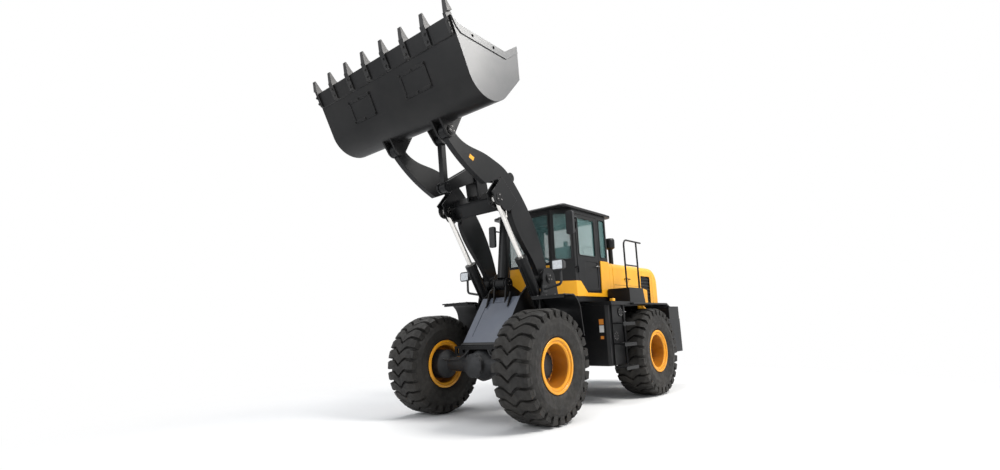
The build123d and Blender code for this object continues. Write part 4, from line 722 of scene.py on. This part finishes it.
def tyre(corner):
    """A tyre carcass with its wavy lugs, in the place of the plain solid."""
    centre = wheel_centres[corner]
    lugs = ring_of(f"lugs_{corner}", lug_part(), centre, lug_count, "tyre")
    smooth_by_angle(lugs.data, 28)
    carcass = turned_shell(f"carcass_{corner}", carcass_profile, centre, "tyre", steps=96)
    whole = joined(f"tyre_{corner}_treaded", [carcass, lugs], f"wheel_{corner}")
    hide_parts(f"tyre_{corner}")


def rim(corner):
    """A deep rim: flange and lock ring in yellow, the barrel's inner faces in a darker orange that is painted shade of
    the rim's hollow, with a dark hub and its bolts.
    """
    centre = wheel_centres[corner]
    side = 1 if centre.x > 0 else -1
    outer = rim_half
    dish = [
        (-outer, flange_radius - 0.004), (-outer + 0.004, flange_radius), (-outer + 0.014, flange_radius - 0.002),
        (-outer + 0.018, 0.322), (outer - 0.018, 0.322), (outer - 0.014, flange_radius - 0.002),
        (outer - 0.004, flange_radius), (outer, flange_radius - 0.006), (outer, 0.346), (outer - 0.006, 0.338),
        (outer - 0.012, 0.340), (outer - 0.020, 0.330), (outer - 0.022, 0.302), (outer - 0.040, 0.290),
        (outer - 0.060, 0.286), (-0.020, 0.283), (-0.028, 0.270), (-0.028, 0.206), (-0.052, 0.206), (-0.052, 0.290),
        (-outer + 0.040, 0.296), (-outer + 0.020, 0.306), (-outer + 0.016, 0.334), (-outer, 0.342),
    ]
    hub = [
        (-0.050, 0.072), (-0.050, 0.214), (-0.026, 0.214), (-0.020, 0.205), (-0.010, 0.200), (0.028, 0.196),
        (0.036, 0.186), (0.040, 0.150), (0.052, 0.140), (0.058, 0.085), (0.060, 0.030), (0.060, 0.0005),
        (0.012, 0.0005), (0.012, 0.072),
    ]
    builder = bmesh.new()
    turned(builder, [(side * dx, radius) for dx, radius in dish], centre, "X", 96)
    for face in builder.faces:
        spot = face.calc_center_median() - centre
        # Faces inside the barrel take the darker orange, painted shade of the hollow.
        face.material_index = 1 if side * spot.x < outer - 0.045 and math.hypot(spot.y, spot.z) < 0.300 else 0
    parts = [smooth_shell(f"rim_barrel_{corner}", builder, [mat["rim"], mat["barrel"]], 30)]
    parts.append(turned_shell(f"hub_{corner}", [(side * dx, radius) for dx, radius in hub], centre, "cast", 30))
    for radius, count, size, start, material in ((0.243, 20, 0.016, -0.028, "rim"), (0.168, 12, 0.011, 0.036, "cast")):
        nut = placed_bolt(size, size * 1.5, (side * start, 0, radius), side)
        parts.append(ring_of(f"nuts_{count}_{corner}", nut, centre, count, material))
    whole = joined(f"rim_{corner}_dressed", parts, f"wheel_{corner}")
    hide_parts(f"rim_{corner}")


for corner_name in wheel_centres:
    tyre(corner_name)
    rim(corner_name)

# CAD nodes that keep their shape, with rounded edges and a finish
slope_foot = Vector((0, front_y - 0.040, 1.110))
slope_head = Vector((0, front_y + 0.460, 1.800))
slope_way = (slope_head - slope_foot).normalized()
slope_out = Vector((0, -slope_way.z, slope_way.y))


def slope_finish(spot, normal):
    """The sloped plate and its pressed panel are grey, and the rest is black."""
    run = Vector((0, spot.y, spot.z)) - slope_foot
    on_plate = -0.02 < run.dot(slope_way) < (slope_head - slope_foot).length + 0.02 and abs(run.dot(slope_out)) < 0.02
    return 1 if on_plate and abs(spot.x) < 0.40 and normal.dot(slope_out) > 0.9 else 0


def hood_finish(spot, normal):
    """Black louvre slats and grille bars in the yellow hood."""
    past_pivot = spot.y - pivot.y
    wide = abs(spot.x)
    in_louvre = 2.31 < past_pivot < 2.79 and 1.62 < spot.z < 2.26
    slat = in_louvre and (0.7685 < wide < 0.777 or 0.7812 < wide < 0.7828)
    bar = 3.150 < past_pivot < 3.167 and wide < 0.53 and 1.66 < spot.z < 2.09
    return 1 if slat or bar else 0


def bucket_reflection_faces(spot, normal):
    """The faces of the side plates that look sideways get a lighter grey than the shell: painted reflection of the
    bright surroundings.
    """
    return 1 if abs(normal.x) > 0.9 and abs(spot.x) > 1.45 else 0


def lamp_finish(spot, normal):
    """The beacon's dome is amber."""
    return 1 if spot.z > 3.4015 else 0


softened = (
    ("black", 0.003, ("front_crossbar", "ladders")),
    ("black", 0.004, ("rear_frame", "front_fenders", "rear_fenders", "decks", "cab_door", "intake_and_exhaust")),
    ("black", 0.005, ("cab_frame",)), ("black", 0.006, ("cab_roof",)), ("black", 0.008, ("tail_lamps",)),
    ("black", 0.010, ("side_tanks",)), ("black", 0.012, ("counterweight",)),
    ("boom", 0.003, ("steering_barrel_left", "steering_barrel_right")),
    ("boom", 0.004, ("lift_cylinder_barrels", "tilt_cylinder_barrel")), ("boom", 0.005, ("bellcrank", "bucket_link")),
    ("boom", 0.006, ("lift_arm_left", "lift_arm_right", "boom_cross_beam")), ("tooth", 0.005, ("bucket_teeth",)),
    ("cast", 0.004, ("tow_hitch", "front_axle", "rear_axle")), ("cast", 0.010, ("transmission", "engine_block")),
    ("yellow", 0.003, ("cab_skirt",)), ("yellow", 0.006, ("hood_front_panel",)), ("plastic", 0.006, ("mirrors",)),
    ("plastic", 0.004, ("headlamps",)), ("trim", 0.004, ("steering_console",)),
)
for finish_name, edge_width, node_names in softened:
    for node_name in node_names:
        soften(node_name, [mat[finish_name]], edge_width)
soften("front_frame", [mat["black"], mat["grey"]], 0.004, slope_finish)
soften("hood", [mat["yellow"], mat["black"]], 0.003, hood_finish)
# The bucket's side plates get the painted reflection grey.
soften("bucket", [mat["bucket"], mat["bucket_side"]], 0.004, bucket_reflection_faces)
soften("roof_lamps", [mat["plastic"], mat["amber"]], 0.006, lamp_finish, "lamp_plastic")
dressed = {
    "cast": ("front_drive_shaft", "rear_drive_shaft"), "black": ("handrails",), "glass": ("cab_glass", "door_glass"),
    "chrome": ("lift_cylinder_rods", "tilt_cylinder_rod", "steering_rod_left", "steering_rod_right"),
}
for finish_name, node_names in dressed.items():
    for node_name in node_names:
        node_materials = frame["nodes"][node_name].data.materials
        node_materials.clear()
        node_materials.append(mat[finish_name])


# Pin caps with their bolts, the same on both sides
def pin_cap(name, body, spot, x, radius, deep=0.008, bolts=3):
    """A turned cap over each end of a pin, held by a ring of bolts."""
    parts = []
    centre = (0, spot.y, spot.z)
    for side in (1, -1):
        edge = [(side * x, radius), (side * (x + deep * 0.6), radius), (side * (x + deep), radius - deep * 0.5)]
        parts.append(turned_shell(f"{name}_cap", edge, centre, "boom", steps=40, closed=False))
        if bolts:
            head = placed_bolt(0.009, 0.009, (side * (x + deep), 0, radius * 0.62), side)
            parts.append(ring_of(f"{name}_bolts", head, centre, bolts, "steel"))
    joined(name, parts, body, "dark_steel")


lift_base = pin("lift_barrel_swing")
lift_eye = boom_at(1.580, 0.118)
pin_cap("boom_pin_caps", "front_frame", boom_pin, 0.694, 0.066)
pin_cap("lift_base_caps", "front_frame", lift_base, 0.678, 0.078)
pin_cap("tilt_base_caps", "front_frame", pin("tilt_barrel_swing"), 0.133, 0.062)
pin_cap("lift_eye_caps", "boom", lift_eye, 0.610, 0.074)
pin_cap("crank_pin_caps", "boom", pin("bellcrank_turn"), 0.125, 0.066)
pin_cap("bucket_pin_caps", "bucket", bucket_pin, 0.658, 0.060)
pin_cap("link_pin_caps", "bucket", pin("link_turn"), 0.081, 0.052)
pin_cap("crank_high_caps", "bellcrank", boom_at(1.315, 1.221), 0.085, 0.050, 0.006, 0)
pin_cap("crank_low_caps", "bellcrank", boom_at(2.105, -0.125), 0.085, 0.048, 0.006, 0)

# Bucket: bolts of the wear plates and the teeth, and the welded edge under the lip
shell_out = (0.0, -lip_way[1], -lip_way[0])
wear_spots = [lip_at(along, 0.014, side * wide) for side in (1, -1) for wide in (0.350, 0.590, 0.830)
              for along in (-0.640, -0.350)]
placed_bolts("wear_plate_bolts", wear_spots, shell_out, "bucket", "bucket", 0.014)
tooth_count = 8
bucket_width = 3.000
tooth_width = 0.086
tooth_pitch = (bucket_width - tooth_width) / (tooth_count - 1)
tooth_middles = [(tooth_width - bucket_width) / 2 + index * tooth_pitch for index in range(tooth_count)]
tooth_spots = [lip_at(along, out, middle) for middle in tooth_middles
               for along, out in ((-0.155, 0.0388), (-0.060, 0.0402))]
placed_bolts("tooth_bolts", tooth_spots, shell_out, "tooth", "bucket", 0.017)
tooth_room = 0.045
edge_section = [lip_at(along, out)
                for along, out in ((-0.235, 0.0005), (-0.221, 0.016), (-0.002, 0.016), (-0.002, 0.0005))]
builder = bmesh.new()
for middle in tooth_middles[:-1]:
    ends = (middle + tooth_room, middle + tooth_pitch - tooth_room)
    loft(builder, [[(x, spot.y, spot.z) for spot in edge_section] for x in ends])
turn_out(builder)
ride(bevelled(object_from("cutting_edge", builder, [mat["bucket"]]), 0.002), "bucket", "dark_steel")

# Boom: a pair of hard lines on the left arm and a blank marker plate; the lift cylinders' lines
line_path = ((0.30, 0.215), (0.62, 0.330), (1.08, 0.455), (1.27, 0.455))
lines = [[boom_at(along, out, 0.492 - inset) for along, out in line_path] for inset in (0.020, 0.052)]
pipe("boom_hard_lines", lines, 0.011, "hose", "boom", 0.08)
marker = ((2.30, 0.150), (2.39, 0.118), (2.37, 0.058), (2.28, 0.090))
builder = bmesh.new()
loft(builder, [[boom_at(along, out, x) for along, out in marker] for x in (0.588, 0.590)])
outward(builder)
ride(bevelled(object_from("arm_marker", builder, [mat["yellow"]]), 0.0006), "boom")
lift_way = (lift_eye - lift_base).normalized()
lift_under = Vector((0, -lift_way.z, lift_way.y))
for side, side_name in ((1, "left"), (-1, "right")):
    base = Vector((side * 0.540, lift_base.y, lift_base.z))
    line = [base + lift_way * along + lift_under * under
            for along, under in ((0.130, 0.085), (0.130, 0.112), (1.060, 0.112), (1.100, 0.085))]
    pipe(f"lift_hard_line_{side_name}", [line], 0.010, "boom", "lift_barrels", 0.025)

# Front axle: differential cover, brake lines and the hoses behind the sloped plate
cover_profile = [(-0.196, 0.172), (-0.236, 0.166), (-0.244, 0.176), (-0.258, 0.176), (-0.262, 0.150), (-0.284, 0.112),
                 (-0.290, 0.020)]
cover_centre = (0, front_y, tyre_radius)
cover = turned_shell("axle_cover_shell", cover_profile, cover_centre, "cast", axis="Y", steps=56, closed=False)
head = placed_bolt(0.010, 0.010, (0, -0.258, 0.162), -1, "Y")
cover_bolts = ring_of("axle_cover_bolts", head, cover_centre, 12, "cast", (0.0, 1.0, 0.0))
joined("axle_cover", [cover, cover_bolts], "front_frame")
brake_path = ((0.20, -0.120, 1.000), (0.26, -0.150, 0.930), (0.44, -0.135, 0.860), (0.70, -0.135, 0.850),
              (0.79, -0.165, 0.880), (0.82, -0.165, 0.930))
brake_lines = [[Vector((side * x, front_y + y, z)) for x, y, z in brake_path] for side in (1, -1)]
pipe("brake_lines", brake_lines, 0.010, "hose", "front_frame")
well_hoses = []
for x, lift in ((0.150, 0.0), (0.190, 0.03), (-0.170, 0.01), (-0.215, 0.04)):
    path = ((1.0, 0.600, 1.290), (1.0, 0.780, 1.500 + lift), (1.2, 1.000, 1.420 + lift), (1.2, 1.240, 1.330 + lift))
    well_hoses.append([Vector((x * spread, front_y + y, z)) for spread, y, z in path])
pipe("well_hoses", well_hoses, 0.015, "hose", "front_frame", 0.12)
fender_spots = [(side * x, front_y + 0.430, 1.770) for side in (1, -1) for x in (0.76, 0.92, 1.08, 1.24)]
placed_bolts("fender_bolts", fender_spots, (0, 0, 1), "steel", "front_frame", 0.009)

# Pivot pin cover between the frames
pivot_centre = (0, pivot.y, 0)
pivot_profile = [(1.335, 0.092), (1.343, 0.092), (1.347, 0.086)]
cover = turned_shell("pivot_cover_disc", pivot_profile, pivot_centre, "boom", axis="Z", steps=48, closed=False)
head = placed_bolt(0.010, 0.010, (0.066, 0, 1.347), axis="Z")
pivot_bolts = ring_of("pivot_cover_bolts", head, pivot_centre, 6, "steel", (0.0, 0.0, 1.0))
joined("pivot_cover", [cover, pivot_bolts], "rear_frame", "dark_steel")


# Lamps, mirrors and lenses
def window_loop(middle, across, height, width):
    """The four corners of a seal or bezel round a window or lamp."""
    half = Vector(across).normalized() * (width / 2)
    rise = Vector((0, 0, height / 2))
    return [middle - half - rise, middle + half - rise, middle + half + rise, middle - half + rise]


lamp_front = front_y + 0.650
for side, side_name in ((1, "left"), (-1, "right")):
    middle = side * 1.005
    lens_box = ((middle - 0.088, lamp_front - 0.008, 2.174), (middle + 0.088, lamp_front + 0.002, 2.306))
    boxes(f"headlamp_lens_{side_name}", [lens_box], "clear", "front_frame", 0.003)
    bezel = window_loop(Vector((middle, lamp_front - 0.003, 2.240)), (1, 0, 0), 0.148, 0.192)
    pipe(f"headlamp_bezel_{side_name}", [bezel], 0.006, "plastic", "front_frame", 0.03, loops=True)
for name, low_x, high_x, finish_name in (
        ("stop", 0.915, 0.995, "red"), ("turn", 1.005, 1.075, "amber"), ("reverse", 1.085, 1.145, "clear")):
    corners = both_sides(behind(3.133, 1.415, low_x), behind(3.143, 1.545, high_x))
    boxes(f"{name}_lenses", corners, finish_name, "rear_frame", 0.003)
work_lenses = both_sides(behind(1.197, 3.197, 0.552), behind(1.205, 3.263, 0.668))
boxes("work_lamp_lenses", work_lenses, "clear", "rear_frame", 0.003)
mirror_glasses = both_sides(behind(-0.307, 2.832, 0.812), behind(-0.303, 3.188, 0.928))
boxes("mirror_glasses", mirror_glasses, "mirror", "rear_frame", 0.0015)

# Cab: rubber seals round the windows, wiper, handle, and the fittings inside
def handle(name, start, end, out, *rest):
    """A bent handle between two points, standing out from them."""
    out = Vector(out)
    pipe(name, [[start, start + out, end + out, end]], *rest)


seals = [
    window_loop(behind(-0.382, 2.795), (1, 0, 0), 0.850, 0.890),
    window_loop(behind(1.032, 2.870), (1, 0, 0), 0.700, 1.300),
    window_loop(behind(0.875, 2.860, 0.782), (0, 1, 0), 0.720, 0.220),
    window_loop(behind(0.875, 2.860, -0.782), (0, 1, 0), 0.720, 0.220),
    window_loop(behind(0.330, 2.740, -0.782), (0, 1, 0), 0.960, 0.680),
    window_loop(behind(-0.252, 2.820, 0.6414), (0.28, 0.26, 0), 0.800, 0.292),
    window_loop(behind(-0.252, 2.820, -0.6414), (-0.28, 0.26, 0), 0.800, 0.292),
]
pipe("window_seals", seals, 0.009, "rubber", "rear_frame", 0.040, loops=True)
door_window = window_loop(behind(0.310, 2.835, 0.782), (0, 1, 0), 0.670, 0.560)
pipe("door_seal", [door_window], 0.009, "rubber", "cab_door", 0.040, loops=True)
handle("door_handle", behind(0.560, 2.330, 0.778), behind(0.660, 2.330, 0.778), (0.037, 0, 0), 0.009, "steel",
       "cab_door", 0.02)
wiper = [[behind(-0.376, 2.345, 0.05), behind(-0.398, 2.350, 0.05), behind(-0.392, 2.830, -0.120)],
         [behind(-0.390, 2.560, -0.215), behind(-0.390, 3.080, -0.030)]]
pipe("wiper_arm", wiper, 0.007, "plastic", "rear_frame", 0.02)
handle("cab_grab_rail", behind(-0.100, 2.280, 0.780), behind(-0.100, 2.900, 0.780), (0.042, 0, 0), 0.012, "black",
       "rear_frame", 0.03)
boxes("sun_blind", [(behind(-0.318, 3.060, -0.42), behind(-0.306, 3.215, 0.42))], "trim", "rear_frame")
dash_screens = [(behind(-0.090, 2.330, 0.30), behind(-0.060, 2.480, 0.52)),
                (behind(-0.075, 1.745, 0.395), behind(-0.050, 2.335, 0.425))]
boxes("dash_screens", dash_screens, "trim", "rear_frame", 0.006)
boxes("arm_consoles", both_sides(behind(0.30, 1.742, 0.30), behind(0.78, 2.230, 0.50)), "trim", "rear_frame", 0.020, 3)
lever_paths = [[behind(0.36, 2.225, x), behind(0.355, 2.380, x)] for x in (-0.40, -0.34)]
pipe("boom_levers", lever_paths, 0.009, "plastic", "rear_frame", 0.01)


# Seat: a stepped base, and a cushion and back of swollen cloth with piped edges
def stuffed(name, builder, limit):
    """Padding: an even skin, blown up a little as cloth, held to a limit and smoothed."""
    outward(builder)
    piece = object_from(name, builder, [mat["cloth"]])
    skin = piece.modifiers.new("even_skin", "REMESH")
    skin.mode = "VOXEL"
    skin.voxel_size = 0.006
    apply_modifiers(piece)
    swell_frames = 20
    still = [vertex.co.copy() for vertex in piece.data.vertices]
    cloth = piece.modifiers.new("swell", "CLOTH")
    cloth.settings.use_pressure = True
    cloth.settings.uniform_pressure_force = 4.0
    cloth.settings.effector_weights.gravity = 0.0
    cloth.point_cache.frame_start = 1
    cloth.point_cache.frame_end = swell_frames
    for step in range(1, swell_frames + 1):
        bpy.context.scene.frame_set(step)
    apply_modifiers(piece)
    bpy.context.scene.frame_set(1)
    for vertex, rest in zip(piece.data.vertices, still):
        move = vertex.co - rest
        if move.length > limit:
            vertex.co = rest + move.normalized() * limit
    soft = piece.modifiers.new("soft", "SUBSURF")
    soft.levels = 1
    soft.render_levels = 1
    apply_modifiers(piece)
    smooth_by_angle(piece.data, 180)
    return ride(piece, "rear_frame")


def cushion_form(low, high, crown):
    """A pillow form between two corners, crowned on top and drawn in at its corners."""
    builder = bmesh.new()
    bmesh.ops.create_cube(builder, size=1.0)
    bmesh.ops.subdivide_edges(builder, edges=builder.edges, cuts=5, use_grid_fill=True)
    size = Vector(high) - Vector(low)
    middle = (Vector(high) + Vector(low)) / 2
    for vertex in builder.verts:
        u, v, w = (2 * channel for channel in vertex.co)
        pinch = 1.0 - 0.07 * (abs(w) ** 2) - 0.03 * (abs(u) * abs(v)) ** 2
        place = Vector((u * size.x / 2 * pinch, v * size.y / 2 * pinch, w * size.z / 2))
        if w > 0:
            place.z += crown * (1 - u * u) * (1 - v * v) * w
        vertex.co = middle + place
    return builder


cushion = cushion_form(behind(0.270, 2.090, -0.240), behind(0.690, 2.200, 0.240), 0.012)
seat_pad = stuffed("seat_cushion", cushion, 0.008)
back_form = cushion_form((-0.215, -0.045, 0.0), (0.215, 0.045, 0.560), 0.0)
lean = Matrix.Translation(behind(0.668, 2.250)) @ Matrix.Rotation(-0.135, 4, "X")
bmesh.ops.transform(back_form, matrix=lean, verts=back_form.verts)
seat_back = stuffed("seat_back", back_form, 0.006)
base_corners = [(behind(0.365, 1.742, -0.155), behind(0.635, 2.020, 0.155)),
                (behind(0.300, 2.020, -0.200), behind(0.660, 2.088, 0.200))]
seat_base = boxes("seat_base", base_corners, "trim", "rear_frame", 0.015, 3)
for piece in (seat_pad, seat_back, seat_base):
    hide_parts("seat")
piping = [behind(y, 2.146, x) for x, y in ((-0.238, 0.272), (0.238, 0.272), (0.238, 0.688), (-0.238, 0.688))]
pipe("seat_piping", [piping], 0.005, "rubber", "rear_frame", loops=True)

# Hood: near-black sheets behind the louvres and the grille as painted shade, panel gaps and handles
louvres = both_sides(behind(2.300, 1.610, 0.752), behind(2.800, 2.275, 0.756))
boxes("louvre_cores", louvres, "rubber", "hood", 0.001)
boxes("grille_core", [(behind(3.110, 1.620, -0.560), behind(3.116, 2.120, 0.560))], "rubber", "hood", 0.002)
gap_boxes = []
for low, high in (((2.210, 1.930), (2.216, 2.325)), ((1.200, 2.020), (2.212, 2.026)), ((2.860, 1.600), (2.866, 2.290))):
    gap_boxes += both_sides(behind(*low, 0.7895), behind(*high, 0.7910))
boxes("hood_panel_gaps", gap_boxes, "rubber", "hood", 0.0004)
for side, side_name in ((1, "left"), (-1, "right")):
    ends = (behind(distance, 2.150, side * 0.788) for distance in (1.620, 1.800))
    handle(f"hood_handle_{side_name}", *ends, (side * 0.047, 0, 0), 0.010, "black", "hood", 0.02)
ends = (behind(3.180, 2.230, x) for x in (-0.14, 0.14))
handle("hood_rear_handle", *ends, (0, 0.045, 0), 0.011, "black", "hood", 0.02)


# Steps, decks and tanks: anti-slip studs, cover bolts, blank plates and the filler cap
def stud_rows(name, low_x, high_x, across, z, first_y, rows):
    """Rows of lozenge studs over a step."""
    builder = bmesh.new()
    for index in range(across):
        x = low_x + (high_x - low_x) * (index + 0.5) / across
        lean = 0.010 if index % 2 else -0.010
        base = ((-0.013, -lean), (0, -0.006), (0.013, lean), (0, 0.006))
        loft(builder, [[(x + dx * share, dy * share, z + rise) for dx, dy in base]
                       for share, rise in ((1.0, 0.0), (0.6, 0.003))])
    turn_out(builder)
    strip = object_from("stud_strip", builder, [])
    return repeated(name, row_tree, strip, Start=(0, pivot.y + first_y, 0), Step=(0, stud_pitch, 0), Count=rows,
                    Material=mat["black"])


stud_pitch = 0.044
stud_pieces = []
for side in (1, -1):
    for step_z in (0.605, 0.985, 1.325):
        stud_pieces.append(stud_rows("step_studs", side * 1.185, side * 1.355, 5, step_z, 0.340, 9))
    stud_pieces.append(stud_rows("deck_studs", side * 0.865, side * 1.185, 9, 1.6755, 0.245, 14))
joined("anti_slip_studs", stud_pieces, "rear_frame", "black_paint")
cover_parts = []
for side in (1, -1):
    for cover_spot in (behind(0.630, 1.500), behind(0.420, 1.100)):
        head = placed_bolt(0.007, 0.006, (side * 1.164, 0, 0.062), side)
        cover_parts.append(ring_of("cover_bolts", head, cover_spot, 8, "steel"))
joined("tank_cover_bolts", cover_parts, "rear_frame", "dark_steel")
orange_plates = [(behind(0.178, 1.300, 0.985), behind(0.181, 1.390, 1.070)),
                 (behind(0.178, 1.060, 1.000), behind(0.181, 1.110, 1.060))]
boxes("orange_plates", orange_plates, "orange_label", "rear_frame", 0.0006)
white_plate = (behind(0.178, 1.170, 0.985), behind(0.181, 1.285, 1.070))
boxes("white_plates", [white_plate], "white_label", "rear_frame", 0.0006)
builder = bmesh.new()
turned(builder, [(0, 0.045), (0.045, 0.045)], behind(0.300, 1.680, 1.205), "Z", 36, closed=False)
outward(builder)
ride(bevelled(object_from("filler_cap", builder, [mat["yellow"]]), 0.006), "rear_frame")
plug_spots = [behind(3.280, 1.240, side * x) for side in (1, -1) for x in (0.30, 0.82)]
placed_bolts("counterweight_bolts", plug_spots, (0, 1, 0), "cast", "rear_frame", 0.022)


# Backdrop and floor: both are plain white to the camera, and light the machine with their own shade
def mix_shaders(tree, factor, first, second):
    return add(tree, "ShaderNodeMixShader", {0: factor, 1: first, 2: second}).outputs[0]


white = (1.0, 1.0, 1.0, 1.0)
world = bpy.data.worlds.new("studio")
bpy.context.scene.world = world
world.use_nodes = True
world_tree = world.node_tree
sky = feed(world_tree, world_tree.nodes["Background"], {"Color": (0.93, 0.96, 1.0, 1.0), "Strength": 0.55})
backdrop = add(world_tree, "ShaderNodeBackground", {"Color": white, "Strength": 1.0})
world_path = world_tree.nodes.new("ShaderNodeLightPath").outputs
seen = math_node(world_tree, "MAXIMUM", world_path["Is Camera Ray"], world_path["Is Glossy Ray"])
seen = math_node(world_tree, "MAXIMUM", seen, world_path["Is Transmission Ray"])
world_shader = mix_shaders(world_tree, seen, sky.outputs[0], backdrop.outputs[0])
feed(world_tree, world_tree.nodes["World Output"], {0: world_shader})

floor_builder = bmesh.new()
bmesh.ops.create_grid(floor_builder, x_segments=1, y_segments=1, size=400.0)
floor_material, floor_tree, floor_shader = new_material("pale_floor")
feed(floor_tree, floor_shader, {"Base Color": (0.86, 0.86, 0.86, 1.0), "Roughness": 0.9})
reach = floor_tree.nodes.new("ShaderNodeVectorMath")
reach.operation = "LENGTH"
feed(floor_tree, reach, {0: object_place(floor_tree)})
far_off = ramp(floor_tree, reach.outputs["Value"], 3.6, 8.0)
camera_ray = floor_tree.nodes.new("ShaderNodeLightPath").outputs["Is Camera Ray"]
lit_white = add(floor_tree, "ShaderNodeEmission", {"Strength": 1.0}).outputs[0]
seen_far = math_node(floor_tree, "MULTIPLY", far_off, camera_ray)
floor_surface = mix_shaders(floor_tree, seen_far, floor_shader.outputs[0], lit_white)
feed(floor_tree, floor_tree.nodes["Material Output"], {"Surface": floor_surface})
floor = object_from("floor", floor_builder, [floor_material])


# Lamps and camera
def area_lamp(name, spot, target, size, power, colour=(1, 1, 1)):
    data = bpy.data.lights.new(name, "AREA")
    data.size = size
    data.energy = power
    data.color = colour
    lamp = link(bpy.data.objects.new(name, data))
    lamp.location = spot
    lamp.rotation_euler = (Vector(target) - Vector(spot)).to_track_quat("-Z", "Y").to_euler()


area_lamp("key", (9.0, 2.5, 10.5), (0, -0.5, 1.5), 5.0, 1750, (1.0, 0.98, 0.95))
area_lamp("front_fill", (-3.0, -13.0, 6.0), (0, 0, 2.0), 7.0, 420, (0.95, 0.97, 1.0))
area_lamp("top", (-2.0, 0.0, 14.0), (0, 0, 0), 9.0, 900)

camera_azimuth = 0.70229
camera_pitch = 0.17865
camera_roll = -0.041736
camera_spot = Vector((5.381, -7.281, 1.332))
ahead = Vector((-math.sin(camera_azimuth) * math.cos(camera_pitch),
                math.cos(camera_azimuth) * math.cos(camera_pitch), math.sin(camera_pitch)))
level = Vector((math.cos(camera_azimuth), math.sin(camera_azimuth), 0))
above = level.cross(ahead)
right = level * math.cos(camera_roll) + above * math.sin(camera_roll)
up = above * math.cos(camera_roll) - level * math.sin(camera_roll)
camera_data = bpy.data.cameras.new("camera")
camera_data.sensor_width = 36.0
camera_data.lens = 18.29
camera = link(bpy.data.objects.new("camera", camera_data))
camera.matrix_world = Matrix((right, up, -ahead)).transposed().to_4x4()
camera.location = camera_spot
bpy.context.scene.camera = camera
bpy.context.scene.view_settings.view_transform = "Standard"
